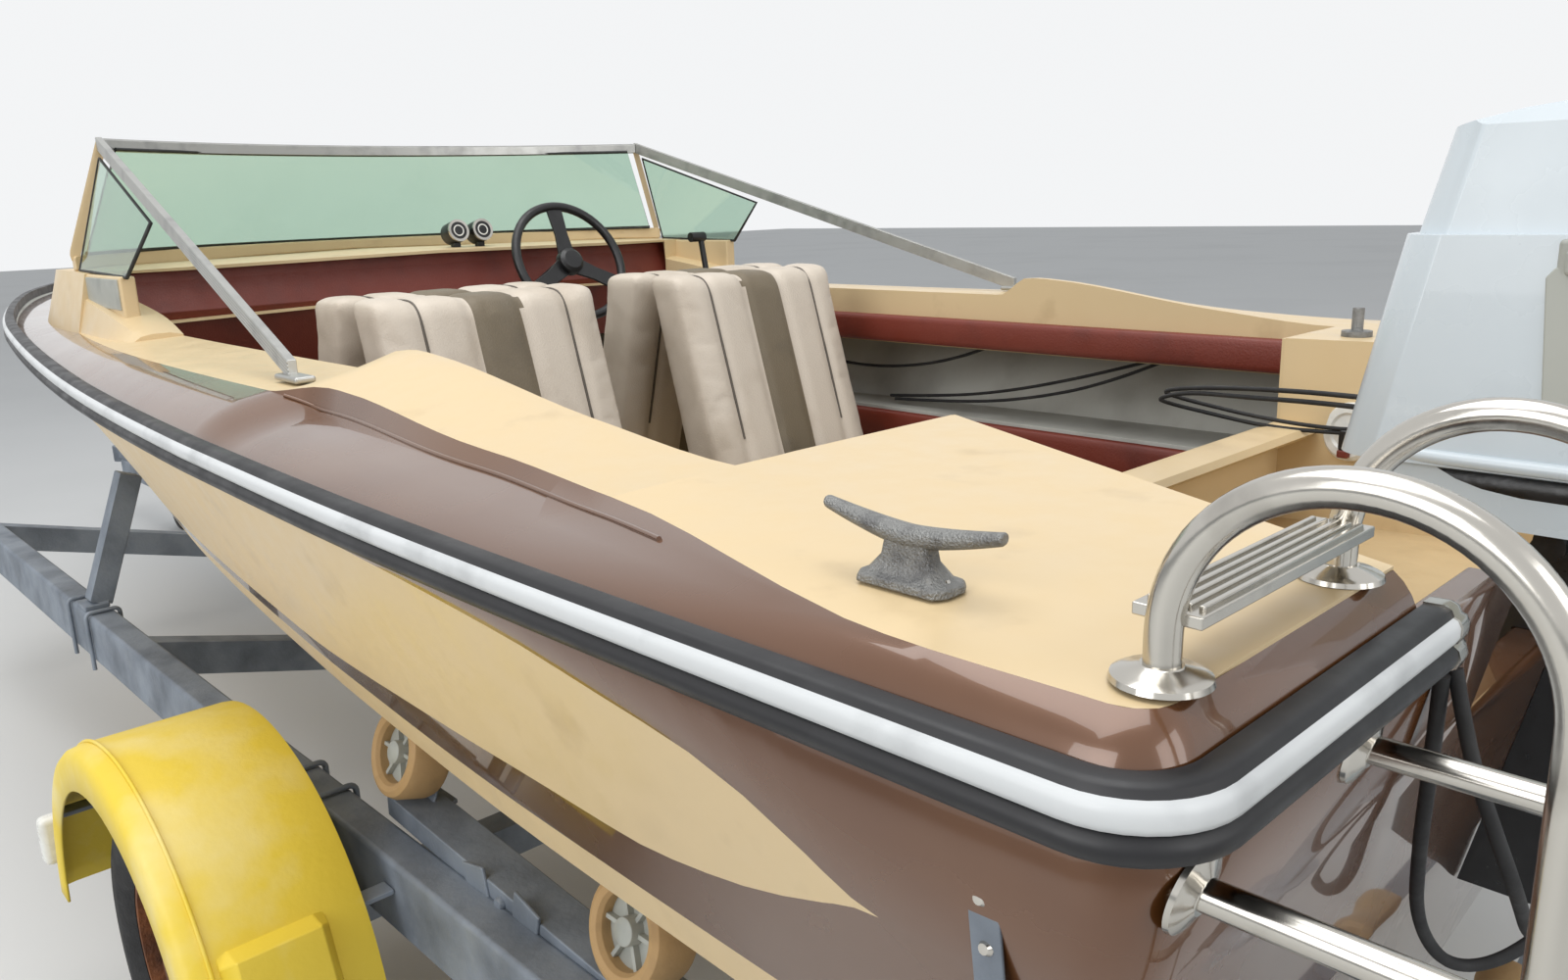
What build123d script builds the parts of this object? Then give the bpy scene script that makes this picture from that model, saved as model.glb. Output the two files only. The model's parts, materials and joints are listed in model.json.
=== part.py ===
from build123d import *
from collections import namedtuple
from math import atan2, cos, radians, sin, tan
import os

os.makedirs("parts", exist_ok=True)

# An open outboard speedboat on its road trailer. Millimetres, +X to the bow, +Y to port, +Z up.
# The origin is on the floor, under the middle of boat and trailer.
# Places on the boat are given from the transom, the centreline and the flat aft deck.

# Overall sizes
deck_height = 1160  # flat aft deck over the floor
nose_ahead = 6250  # front of the coupling from the transom
tail_behind = 470  # rear of the propeller from the transom
stern = -(nose_ahead - tail_behind) / 2
far = 1500  # reach of cutting blocks past the sides
slack = 0.3  # gap between faces of separate pieces

# Hull and deck mouldings
hull_wall = 9
deck_wall = 8
transom_wall = 45
transom_rake = 12
transom_ahead = 38  # the transom's plane at the deck's height
corner_radius = 50  # aft corners in plan
transom_top = -225
transom_notch = 420  # half width of the lowered part of the transom
sheer_lap = 12  # the deck's skirt below the gunwale corner

# Cockpit
cockpit_aft = 700
cockpit_front = 2790
cockpit_half = 780
coaming_drop = 100
floor_z = -520
floor_thickness = 12
floor_front = 3450

# Motor well
well_floor = -335
well_port = 410  # inboard corner of the port deck
well_starboard = 550  # inboard corner of the starboard deck
well_mid = 630
well_mouth = 700
dam_z = -150
dam_lip = 68  # shelf along the dam's top

# Rub rail
rail_width = 24
rail_height = 48
rail_lift = 7  # middle of the rail over the gunwale corner
rail_return = 680  # the rail ends this far from the centreline on the transom


def at(x, y, z):
    """A point given from the transom, the centreline and the aft deck."""
    return Vector(stern + x, y, deck_height + z)


def transom_aft(z):
    """Place of the transom's outer face, a fit away from it."""
    return transom_ahead - z * tan(radians(transom_rake)) - slack / cos(radians(transom_rake))


def transom_fore(z):
    """Place of the transom's inner face, a fit away from it."""
    inner = transom_ahead + transom_wall - z * tan(radians(transom_rake))
    return inner + slack / cos(radians(transom_rake))


def round_bar(points, radius, bend=None):
    """A round bar or tube along straight runs with equal bends."""
    with BuildPart() as bar:
        with BuildLine():
            route = FilletPolyline(*points, radius=bend) if bend else Polyline(*points)
        with BuildSketch(Plane(route @ 0, z_dir=route % 0)):
            if bend:
                RegularPolygon(radius, 12)
            else:
                Circle(radius)
        sweep(transition=Transition.ROUND)
    return bar.part


def flat_bar(start, end, width, depth, side=(0, 1, 0)):
    """A straight bar of rectangular section from one point to another."""
    start, end = Vector(*start), Vector(*end)
    run = end - start
    with BuildPart() as bar:
        with BuildSketch(Plane(start, x_dir=Vector(*side), z_dir=run)):
            Rectangle(width, depth)
        extrude(amount=run.length)
    return bar.part


def block(x, y, z):
    """A block from pairs of low and high values, given from the transom and the deck."""
    with BuildPart() as piece:
        with BuildSketch(Plane.XY.offset(deck_height + z[0])):
            with Locations((stern + (x[0] + x[1]) / 2, (y[0] + y[1]) / 2)):
                Rectangle(x[1] - x[0], y[1] - y[0])
        extrude(amount=z[1] - z[0])
    return piece.part


def side_profile(points, y):
    """A plate whose outline is given as (x, z), from one y to another."""
    with BuildPart() as plate:
        with BuildSketch(Plane.XZ.offset(-y[1])):
            with BuildLine():
                Polyline(*[(stern + px, deck_height + pz) for px, pz in points], close=True)
            make_face()
        extrude(amount=y[1] - y[0])
    return plate.part


def plan_profile(points, z):
    """A plate whose outline is given as (x, y), from one height to another."""
    with BuildPart() as plate:
        with BuildSketch(Plane.XY.offset(deck_height + z[0])):
            with BuildLine():
                Polyline(*[(stern + px, py) for px, py in points], close=True)
            make_face()
        extrude(amount=z[1] - z[0])
    return plate.part


def ball_bar(centre, radius, length, direction):
    """A plain round block about a centre, along a direction."""
    with BuildPart() as piece:
        with BuildSketch(Plane(Vector(*centre), z_dir=Vector(*direction))):
            Circle(radius)
        extrude(amount=length / 2, both=True)
    return piece.part


# Hull and deck lines: x from the transom, then half widths and heights over the aft deck
Station = namedtuple("Station", "x rail_y rail_z chine_y chine_z keel_z edge_y edge_z coam_y coam_z crown_z")
lines = (
    Station(-60, 1072, -55, 925, -492, -740, 1040, 0, 800, 3, 6),
    Station(180, 1076, -54, 927, -486, -741, 1048, 0, 800, 3, 6),
    Station(700, 1086, -52, 931, -468, -742, 962, 0, 800, 3, 6),
    Station(950, 1088, -50, 932, -457, -742, 932, 8, 800, 24, 30),
    Station(1420, 1084, -43, 927, -422, -742, 955, 40, 800, 78, 84),
    Station(1500, 1082, -42, 925, -415, -742, 960, 32, 800, 36, 42),
    Station(2100, 1052, -32, 900, -352, -738, 950, 30, 800, 35, 44),
    Station(3100, 950, 5, 752, -215, -708, 850, 34, 720, 44, 60),
    Station(4000, 738, 34, 500, -85, -606, 640, 48, 500, 62, 74),
    Station(4700, 402, 48, 232, 0, -392, 330, 66, 250, 74, 82),
    Station(4960, 205, 52, 108, 22, -215, 160, 72, 120, 78, 83),
    Station(5090, 60, 60, 30, 36, -60, 45, 74, 30, 78, 82),
)
station_step = 300


def fair(rows, x):
    """The row at x, by cubics through the rows that never overshoot them."""
    after = next(index for index, row in enumerate(rows) if index and row.x >= x)
    low, high = rows[after - 1], rows[after]
    span = high.x - low.x
    share = (x - low.x) / span
    values = []
    for column in range(1, len(low)):
        slopes = [(rows[i + 1][column] - rows[i][column]) / (rows[i + 1].x - rows[i].x)
                  for i in range(len(rows) - 1)]
        ends = []
        for index in (after - 1, after):
            before = slopes[max(index - 1, 0)]
            beyond = slopes[min(index, len(slopes) - 1)]
            ends.append(2 * before * beyond / (before + beyond) if before * beyond > 0 else 0)
        start = low[column] * (1 + 2 * share) * (1 - share) ** 2 + ends[0] * span * share * (1 - share) ** 2
        finish = high[column] * (3 - 2 * share) * share ** 2 - ends[1] * span * (1 - share) * share ** 2
        values.append(start + finish)
    return type(low)(x, *values)


def station_places(rows):
    """The rows' own places and enough between them to look fair."""
    places = []
    for low, high in zip(rows, rows[1:]):
        count = max(1, round((high.x - low.x) / station_step))
        places += [low.x + (high.x - low.x) * index / count for index in range(count)]
    return places + [rows[-1].x]


stations = [fair(lines, x) for x in station_places(lines)]


def between(rows, x):
    """The row at x on the straight lines between two stations."""
    after = next(index for index, row in enumerate(rows) if index and row.x >= x)
    low, high = rows[after - 1], rows[after]
    share = (x - low.x) / (high.x - low.x)
    return type(low)(*(a + share * (b - a) for a, b in zip(low, high)))


def deck_at(x, y):
    """Height of the deck's top at a place."""
    row = between(stations, x)
    reach = abs(y)
    if reach > row.coam_y:
        return row.coam_z + (row.edge_z - row.coam_z) * (reach - row.coam_y) / (row.edge_y - row.coam_y)
    return row.crown_z + (row.coam_z - row.crown_z) * reach / row.coam_y


def bottom_at(x, y):
    """Height of the hull's bottom plates at a place, and their rise for each millimetre outward."""
    after = next(index for index, row in enumerate(stations) if index and row.x >= x)
    aft, fore = stations[after - 1], stations[after]
    ahead = (x - aft.x) / (fore.x - aft.x)
    chine_y = aft.chine_y + ahead * (fore.chine_y - aft.chine_y)
    out = y / chine_y
    if ahead + out < 1:
        rise = aft.chine_z - aft.keel_z
        return aft.keel_z + ahead * (fore.keel_z - aft.keel_z) + out * rise, rise / chine_y
    rise = fore.chine_z - fore.keel_z
    height = fore.chine_z + (1 - ahead) * (aft.chine_z - fore.chine_z) - (1 - out) * rise
    return height, rise / chine_y


def plated(sections):
    """A closed body of flat plates between matching rings of points, alike on both sides."""
    plates = [Face(Wire.make_polygon(ring, close=True)) for ring in (sections[0], sections[-1])]
    for aft, fore in zip(sections, sections[1:]):
        for index in range(len(aft)):
            after = (index + 1) % len(aft)
            from_low = index < len(aft) / 2
            low, high = (index, after) if from_low else (after, index)
            for ring in ((aft[low], aft[high], fore[high]), (aft[low], fore[high], fore[low])):
                plates.append(Face(Wire.make_polygon(ring, close=True)))
    with BuildPart() as body:
        add(Solid(Shell(plates)))
    return body.part


def ring_of(x, crown, side_points, keel=None):
    """A mirrored ring of points across the boat, from the crown down each side."""
    middle = [at(x, 0, keel)] if keel is not None else []
    starboard = [at(x, -y, z) for y, z in side_points]
    port = [at(x, y, z) for y, z in reversed(side_points)]
    return [at(x, 0, crown), *starboard, *middle, *port]


def boat_body(inset):
    """The closed body of hull and deck, or the same body inside a wall."""
    rings = []
    for row in stations:
        side_points = [(row.coam_y - 0.5 * inset, row.coam_z - inset),
                       (row.edge_y - 0.7 * inset, row.edge_z - inset),
                       (row.rail_y - inset, row.rail_z),
                       (max(row.chine_y - inset, 6), row.chine_z + 0.6 * inset)]
        rings.append(ring_of(row.x, row.crown_z - inset, side_points, row.keel_z + 1.06 * inset))
    return plated(rings)


def raked_block(ahead):
    """Everything aft of the transom's raked plane, moved ahead by a distance."""
    run = tan(radians(transom_rake))
    front = ahead + transom_ahead
    return side_profile([(-900, 300), (front - 300 * run, 300), (front + 900 * run, -900), (-900, -900)],
                        (-far, far))


# Aft corners of hull and deck: rounded in plan, leaning with the transom and the sides
corner_x, corner_y, corner_z = 45, 1067, -40
hull_lean = (98, -141, -455)
deck_lean = (28, -21, 46)


def corner_cut(side):
    """What the rounding takes off an aft corner of hull and deck."""
    with BuildPart() as piece:
        for lean, amount in ((hull_lean, 700), (deck_lean, 90)):
            aft, wide = stern + corner_x, corner_y
            with BuildSketch(Plane.XY.offset(deck_height + corner_z)):
                with BuildLine():
                    Polyline((aft, side * (wide - corner_radius)), (aft - 400, side * (wide - corner_radius)),
                             (aft - 400, side * (wide + 400)), (aft + corner_radius, side * (wide + 400)),
                             (aft + corner_radius, side * wide))
                    RadiusArc((aft + corner_radius, side * wide), (aft, side * (wide - corner_radius)),
                              side * corner_radius)
                make_face()
            extrude(amount=amount, dir=(lean[0], side * lean[1], lean[2]))
    return piece.part


corner_cuts = [corner_cut(side) for side in (1, -1)]
aft_bevel = side_profile([(-200, -40), (45, -40), (69, 0), (76, 12), (-200, 12)], (-far, far))

outside = boat_body(0)
inside = boat_body(hull_wall)
fit_inside = boat_body(hull_wall + slack)

with BuildPart() as below_sheer:
    with BuildSketch(Plane.XZ):
        with BuildLine():
            lap = [(stern + row.x, deck_height + row.rail_z - sheer_lap) for row in stations]
            Polyline(*lap, (lap[-1][0] + 50, lap[-1][1]), (lap[-1][0] + 50, 0), (lap[0][0] - 50, 0),
                     (lap[0][0] - 50, lap[0][1]), close=True)
        make_face()
    extrude(amount=far, both=True)

# Hull: one open shell with a thick raked transom, lowered in the middle for the motor
with BuildPart() as hull_space:
    add(inside)
    add(raked_block(transom_wall), mode=Mode.SUBTRACT)

with BuildPart() as hull:
    add(outside)
    add(raked_block(0), mode=Mode.SUBTRACT)
    add(hull_space.part, mode=Mode.SUBTRACT)
    add(below_sheer.part, mode=Mode.INTERSECT)
    add(block((-200, 300), (-transom_notch, transom_notch), (transom_top, 200)), mode=Mode.SUBTRACT)
    add(corner_cuts, mode=Mode.SUBTRACT)

# Deck moulding: side decks, aft decks, motor well and the raised foredeck under the windscreen
well_port_side = [(-200, well_mouth), (70, well_mouth), (220, well_mid), (cockpit_aft, well_port)]
well_starboard_side = [(cockpit_aft, -well_starboard), (220, -well_mid), (70, -well_mouth),
                       (-200, -well_mouth)]
well_plan = well_port_side + well_starboard_side

Trunk = namedtuple("Trunk", "x foot_y foot_z top_y top_z crown_z")
trunk_sections = (
    Trunk(2430, 905, 10, 868, 148, 156),
    Trunk(3000, 890, 10, 855, 165, 174),
    Trunk(3600, 770, 10, 690, 134, 160),
    Trunk(4300, 500, 20, 400, 95, 122),
    Trunk(4850, 150, 40, 120, 70, 78),
)


trunk_stations = [fair(trunk_sections, x) for x in station_places(trunk_sections)]


def trunk_body(inset):
    """The raised part of the foredeck, or the same body inside its wall."""
    rings = []
    for row in trunk_stations[:-1] if inset > 0 else trunk_stations:
        side_points = [(row.top_y - inset, row.top_z - inset), (row.foot_y - inset, row.foot_z)]
        rings.append(ring_of(row.x, row.crown_z - inset, side_points))
    return plated(rings)


def trunk_at(x, y):
    """Height of the raised foredeck's top at a place."""
    row = between(trunk_stations, x)
    return row.crown_z + (row.top_z - row.crown_z) * abs(y) / row.top_y


mid_skin = boat_body(deck_wall / 2)

with BuildPart() as well_block:
    with BuildSketch(Plane.XY.offset(deck_height + well_floor - deck_wall)):
        with BuildLine():
            Polyline(*[(stern + x, y) for x, y in well_plan], close=True)
        make_face()
        offset(amount=deck_wall, kind=Kind.INTERSECTION)
    extrude(amount=500)
    add(mid_skin, mode=Mode.INTERSECT)
    add(raked_block(transom_wall + slack), mode=Mode.SUBTRACT)

coaming_y = cockpit_half + deck_wall
with BuildPart() as coaming:
    add(block((cockpit_aft - deck_wall, cockpit_front), (-coaming_y, coaming_y), (-coaming_drop, 200)))
    add(mid_skin, mode=Mode.INTERSECT)

trunk_space = trunk_body(deck_wall)
with BuildPart() as deck:
    add(outside)
    add(inside, mode=Mode.SUBTRACT)
    add(raked_block(0), mode=Mode.SUBTRACT)
    add(below_sheer.part, mode=Mode.SUBTRACT)
    add(trunk_body(0))
    add(trunk_space, mode=Mode.SUBTRACT)
    add(coaming.part)
    add(well_block.part)
    add(block((cockpit_aft, cockpit_front), (-cockpit_half, cockpit_half), (-200, 300)),
        mode=Mode.SUBTRACT)
    add(plan_profile(well_plan, (well_floor, 300)), mode=Mode.SUBTRACT)
    dam_y = (-well_starboard + deck_wall, well_port - deck_wall)
    add(block((cockpit_aft - 60, cockpit_aft + 60), dam_y, (dam_z, 400)), mode=Mode.SUBTRACT)
    dam_span = (-well_starboard - deck_wall / 2, well_port + deck_wall / 2)
    add(block((cockpit_aft - deck_wall / 2, cockpit_aft + deck_wall), dam_span, (-201, dam_z)))
    add(block((cockpit_aft - dam_lip, cockpit_aft + deck_wall), dam_span, (dam_z - 14, dam_z)))
    add(aft_bevel, mode=Mode.SUBTRACT)
    add(corner_cuts, mode=Mode.SUBTRACT)

# Rub rail: a rubber section with its bright insert, round each side and corner to its end on the transom
rail_bite = 12
rail_start = 180
rail_aft_z = between(stations, rail_start).rail_z + rail_lift
rail_aft_y = between(stations, rail_start).rail_y + slack
rail_aft_x = 45 - slack
with BuildPart() as rub_rail:
    for side in (1, -1):
        for row in stations[1:]:
            with BuildSketch(Plane.YZ.offset(stern + row.x)):
                middle = row.rail_y + (rail_width - rail_bite) / 2
                with Locations((side * middle, deck_height + row.rail_z + rail_lift)):
                    Rectangle(rail_width + rail_bite, rail_height)
        loft(ruled=True)
    add(boat_body(-slack), mode=Mode.SUBTRACT)
    for side in (1, -1):
        with BuildSketch(Plane.XY.offset(deck_height + rail_aft_z - rail_height / 2)):
            with BuildLine():
                for grow in (0, rail_width - slack):
                    turn = corner_radius + grow
                    middle_x, middle_y = stern + rail_aft_x + corner_radius, rail_aft_y - corner_radius
                    Line((stern + rail_start + 1, side * (rail_aft_y + grow)),
                         (middle_x, side * (rail_aft_y + grow)))
                    RadiusArc((middle_x, side * (rail_aft_y + grow)), (middle_x - turn, side * middle_y),
                              side * turn)
                    Line((middle_x - turn, side * middle_y), (middle_x - turn, side * rail_return))
                Line((stern + rail_start + 1, side * rail_aft_y),
                     (stern + rail_start + 1, side * (rail_aft_y + rail_width - slack)))
                Line((stern + rail_aft_x, side * rail_return),
                     (stern + rail_aft_x - rail_width + slack, side * rail_return))
            make_face()
        extrude(amount=rail_height)

# Cockpit floor with the aft bulkhead, and the side lockers
bulkhead_x = cockpit_aft + 12
bulkhead_half = 788
with BuildPart() as cockpit_floor:
    add(block((70, floor_front), (-far, far), (floor_z - floor_thickness, floor_z)))
    add(block((bulkhead_x, bulkhead_x + 12), (-bulkhead_half, bulkhead_half), (floor_z - 1, dam_z - 12)))
    add(fit_inside, mode=Mode.INTERSECT)
    add(raked_block(transom_wall + slack), mode=Mode.SUBTRACT)

shelf_y = 800
shelf_z = -278
shelf_wall = 8
shelf_range = (cockpit_aft + 60, 2380)
with BuildPart() as side_lockers:
    for side in (1, -1):
        span = (shelf_y, far) if side > 0 else (-far, -shelf_y)
        hollow = (shelf_y + shelf_wall, far) if side > 0 else (-far, -shelf_y - shelf_wall)
        add(block(shelf_range, span, (floor_z + slack, shelf_z)))
        add(block(shelf_range, hollow, (floor_z - 10, shelf_z - shelf_wall)), mode=Mode.SUBTRACT)
    add(fit_inside, mode=Mode.INTERSECT)

# Upholstery on the sides: bolster under the coaming and pad on the locker
bolster_range = (cockpit_aft + 20, 2440)
bolster_depth = 36
pad_range = (shelf_range[0] + 10, 2320)
pad_depth = 32
with BuildPart() as side_padding:
    for side in (1, -1):
        low, high = sorted((side * (cockpit_half - slack), side * (cockpit_half - bolster_depth)))
        add(block(bolster_range, (low, high), (-coaming_drop + 4, -24)))
        low, high = sorted((side * (shelf_y - slack), side * (shelf_y - pad_depth)))
        add(block(pad_range, (low, high), (shelf_z - 100, shelf_z - 4)))
    add(fit_inside, mode=Mode.INTERSECT)

# Dashboard
dash_x = 2830
dash_foot = (2890, -120)
dash_lip = (2804, 60)


def dash_body(grow):
    """The dash from side to side, its aft face moved aft by a distance."""
    return side_profile([(dash_x - grow, 200), (dash_x - grow, 132), (dash_lip[0] - grow, dash_lip[1]),
                         (dash_foot[0] - grow, dash_foot[1]), (2920, -120), (2870, 50), (2876, 200)], (-far, far))


with BuildPart() as under_trunk:
    add(fit_inside)
    add(trunk_body(-slack), mode=Mode.SUBTRACT)
    add(trunk_body(deck_wall + slack))

with BuildPart() as dashboard:
    add(dash_body(0))
    add(under_trunk.part, mode=Mode.INTERSECT)

# Seats: two back-to-back pairs on low boxes
seat_y = 360
seat_width = 526
seat_z = -290
cushion = 110
seat_mid = 2034
back_top = 130
back_round = 28  # top corners of the seat backs
base_range = (1330, 2680)
with BuildPart() as seat_bases:
    for side in (1, -1):
        span = (side * seat_y - seat_width / 2, side * seat_y + seat_width / 2)
        wall = 12
        add(block(base_range, span, (floor_z + slack, seat_z - cushion - slack)))
        add(block((base_range[0] + wall, base_range[1] - wall), (span[0] + wall, span[1] - wall),
                  (floor_z - 10, seat_z - cushion - wall)), mode=Mode.SUBTRACT)
    add(fit_inside, mode=Mode.INTERSECT)

with BuildPart() as seat_cushions:
    for side in (1, -1):
        span = (side * seat_y - seat_width / 2, side * seat_y + seat_width / 2)
        add(block((1290, 1738), span, (seat_z - cushion, seat_z)))
        add(block((2330, 2700), span, (seat_z - cushion, seat_z)))
    add(fit_inside, mode=Mode.INTERSECT)

with BuildPart() as seat_backs:
    for side in (1, -1):
        span = (side * seat_y - seat_width / 2, side * seat_y + seat_width / 2)
        add(side_profile([(1745, seat_z - cushion + slack), (1880, seat_z - cushion + slack),
                          (seat_mid - 4, back_top), (1900, back_top)], span))
        add(side_profile([(2190, seat_z - cushion + slack), (2322, seat_z - cushion + slack),
                          (2180, back_top), (seat_mid + 4, back_top)], span))
    fillet(seat_backs.edges().filter_by(Axis.Y).group_by(Axis.Z)[-1], back_round)

# Windscreen: curved front pane, two side panes, top rail, posts and long struts
screen_base = Vector(2910, 850, 178)
screen_top = Vector(2890, 760, 436)
base_bow = 3330
top_bow = 3110
glass = 5
screen_chords = 16
strut_foot = Vector(1530, 910, 52)
base_height = 20
strut_size = (30, 16)


def arc_points(corner, bow_x, shift):
    """Points of the arc from the starboard corner round the bow to the port corner."""
    rise = bow_x - corner.X
    radius = (corner.Y ** 2 + rise ** 2) / (2 * rise)
    half_angle = atan2(corner.Y, radius - rise)
    turns = [half_angle * (2 * index / screen_chords - 1) for index in range(screen_chords + 1)]
    return [(stern + bow_x + shift - radius * (1 - cos(turn)), radius * sin(turn)) for turn in turns]


def arc_band(corner, bow_x, half_thickness):
    """A curved band in plan, from corner to corner through the middle."""
    with BuildSketch() as band:
        with BuildLine():
            ahead = arc_points(corner, bow_x, half_thickness)
            behind = arc_points(corner, bow_x, -half_thickness)
            Polyline(*ahead, *reversed(behind), close=True)
        make_face()
    return band.sketch


def pane(corners, thickness):
    """A flat pane through four corners, the last brought into the plane of the others."""
    along = corners[1] - corners[0]
    plane = Plane(corners[0], x_dir=along, z_dir=along.cross(corners[2] - corners[0]))
    with BuildPart() as piece:
        with BuildSketch(plane):
            with BuildLine():
                Polyline(*[(plane.to_local_coords(c).X, plane.to_local_coords(c).Y) for c in corners], close=True)
            make_face()
        extrude(amount=thickness / 2, both=True)
    return piece.part


side_pane = [(2530, 846, trunk_at(2530, 846) + 3), (2880, 846, trunk_at(2880, 846) + 3), (2868, 772, 412),
             (2400, 822, 268)]

with BuildPart() as windscreen_frame:
    with BuildSketch(Plane.XY.offset(deck_height + screen_top.Z)):
        add(arc_band(screen_top, top_bow, 12))
    extrude(amount=20)
    for side in (1, -1):
        top = at(screen_top.X, side * screen_top.Y, screen_top.Z + 10)
        add(flat_bar(at(strut_foot.X, side * strut_foot.Y, strut_foot.Z), top, *strut_size))
        add(flat_bar(at(screen_base.X, side * screen_base.Y, screen_base.Z + 27), top, 24, 16))

glass_foot = screen_base + Vector(0, -34, 0)
glass_head = screen_top + Vector(0, -30, 0)
glass_low = deck_height + screen_base.Z + base_height + slack
glass_high = deck_height + screen_top.Z - slack
with BuildPart() as windscreen_glass:
    edges = [(arc_points(glass_foot, base_bow, shift), arc_points(glass_head, top_bow, shift))
             for shift in (glass / 2, -glass / 2)]
    rings = []
    for index in range(screen_chords + 1):
        (ahead_low, ahead_high), (behind_low, behind_high) = [(low[index], high[index]) for low, high in edges]
        rings.append([Vector(*ahead_low, glass_low), Vector(*ahead_high, glass_high),
                      Vector(*behind_high, glass_high), Vector(*behind_low, glass_low)])
    add(plated(rings))
    for side in (1, -1):
        add(pane([at(x, side * y, z) for x, y, z in side_pane], glass))

with BuildPart() as windscreen_base:
    with BuildSketch(Plane.XY.offset(deck_height + screen_base.Z - 40)):
        add(arc_band(screen_base, base_bow, 16))
    extrude(amount=base_height + 40)
    add(trunk_body(-slack), mode=Mode.SUBTRACT)

# Helm: wheel on a raked column, and the throttle box on the starboard side
wheel_centre = (2620, -310, 125)
helm_tilt = 25
wheel_radius = 178
helm_axis = Vector(cos(radians(helm_tilt)), 0, -sin(radians(helm_tilt)))
hub = at(*wheel_centre)
spindle_radius = 10
fit = 0.1
helm_plane = Plane(hub, x_dir=(0, 1, 0), z_dir=helm_axis)
wheel_grip = 13
with BuildPart() as steering_wheel:
    with BuildSketch(helm_plane):
        Circle(34)
    extrude(amount=18, both=True)
    with BuildSketch(helm_plane):
        with PolarLocations(wheel_radius / 2, 3, start_angle=90):
            Rectangle(wheel_radius - wheel_grip, 34)
    extrude(amount=5, both=True)
    with BuildSketch(Plane(hub, x_dir=helm_plane.x_dir, z_dir=helm_plane.y_dir)):
        with Locations((wheel_radius - wheel_grip, 0)):
            RegularPolygon(wheel_grip, 8)
    revolve(axis=Axis(hub, helm_axis))
    with BuildSketch(helm_plane):
        Circle(spindle_radius + fit)
    extrude(amount=18, both=True, mode=Mode.SUBTRACT)

with BuildPart() as helm_column:
    with BuildSketch(helm_plane.offset(20)):
        Circle(24)
    extrude(amount=250)
    with BuildSketch(helm_plane.offset(-14)):
        Circle(spindle_radius)
    extrude(amount=40)
    add(dash_body(slack), mode=Mode.SUBTRACT)
    add(block((dash_x + 20, 3200), (-500, -100), (-300, 300)), mode=Mode.SUBTRACT)

with BuildPart() as throttle_control:
    add(block((2450, 2570), (-cockpit_half + slack, -722), (-90, 60)))
    add(flat_bar(at(2500, -712, 20), at(2530, -712, 170), 14, 10))
    add(ball_bar(at(2500, -716, 22), 22, 16, (0, 1, 0)))
    add(ball_bar(at(2532, -700, 175), 14, 50, (0, 1, 0)))

gauge_x = 2890
gauge_radius = 31
with BuildPart() as gauges:
    for gauge_y in (-110, -186):
        foot = trunk_at(gauge_x, gauge_y - 10) + slack + 1
        add(ball_bar(at(gauge_x, gauge_y, 212), gauge_radius, 50, (-1, 0, 0.25)))
        add(flat_bar(at(gauge_x, gauge_y, foot), at(gauge_x, gauge_y, 200), 20, 20))

# Deck fittings
cleat_at = (305, 964)
stem_x = 4790
with BuildPart() as mooring_fittings:
    for side in (1, -1):
        x, y = cleat_at[0], side * cleat_at[1]
        foot = deck_at(x, cleat_at[1] - 20) + slack
        add(block((x - 42, x + 42), (y - 20, y + 20), (foot, 10)))
        add(block((x - 24, x + 24), (y - 9, y + 9), (8, 44)))
        add(round_bar([at(x - 82, y, 52), at(x, y, 42), at(x + 82, y, 52)], 9))
    stem_z, _ = bottom_at(stem_x, 0)
    ahead_z, _ = bottom_at(stem_x + 20, 0)
    stem_run = Vector(20, 0, ahead_z - stem_z).normalized()
    stem_out = Vector(stem_run.Z, 0, -stem_run.X)
    foot = at(stem_x, 0, stem_z) + stem_out * slack
    add(flat_bar(foot - stem_run * 34, foot + stem_run * 34, 34, 10, (0, 1, 0)).moved(Location(stem_out * 5)))
    loop = [foot + stem_run * a + stem_out * b for a, b in ((-24, 6), (-24, 52), (24, 52), (24, 6))]
    add(round_bar(loop, 5, 18))

stub_at = (610, -640)
stub_foot = deck_at(stub_at[0], stub_at[1] + 26) + slack
with BuildPart() as stub_post:
    add(ball_bar(at(*stub_at, stub_foot + 5), 26, 10, (0, 0, 1)))
    add(ball_bar(at(*stub_at, 30), 10, 50, (0, 0, 1)))

hoop_y = (750, 1000)
hoop_foot = 88
hoop_leg = -115
hoop_bend = 101
hoop_top = 131
tube_r = 11
leg_bottom = -560
hoop_brace_z = -120
raked_normal = (-cos(radians(transom_rake)), 0, -sin(radians(transom_rake)))
with BuildPart() as boarding_ladder:
    for y in hoop_y:
        foot = deck_at(hoop_foot, y - 30) + slack
        add(round_bar([at(hoop_foot, y, foot), at(hoop_foot, y, hoop_top), at(hoop_leg, y, hoop_top),
                       at(hoop_leg, y, leg_bottom)], tube_r, hoop_bend))
        add(ball_bar(at(hoop_foot, y, 5 + foot), 30, 10, (0, 0, 1)))
        flange_x = transom_aft(hoop_brace_z) - 5 / cos(radians(transom_rake))
        add(round_bar([at(flange_x, y, hoop_brace_z), at(hoop_leg, y, hoop_brace_z)], tube_r))
        add(ball_bar(at(flange_x, y, hoop_brace_z), 28, 10, raked_normal))
    add(block((hoop_foot - 24, hoop_foot + 24), hoop_y, (38, 50)))
    for rung_z in (-320, leg_bottom + 12):
        add(block((hoop_leg - 24, hoop_leg + 24), hoop_y, (rung_z - 6, rung_z + 6)))

# Trailer frame
rail_y = 925
rail_size = (60, 120)
rail_top = -640
rail_range = (-40, 4250)
with BuildPart() as trailer_rails:
    for side in (1, -1):
        span = (side * rail_y - rail_size[0] / 2, side * rail_y + rail_size[0] / 2)
        add(block(rail_range, span, (rail_top - rail_size[1], rail_top)))

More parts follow.
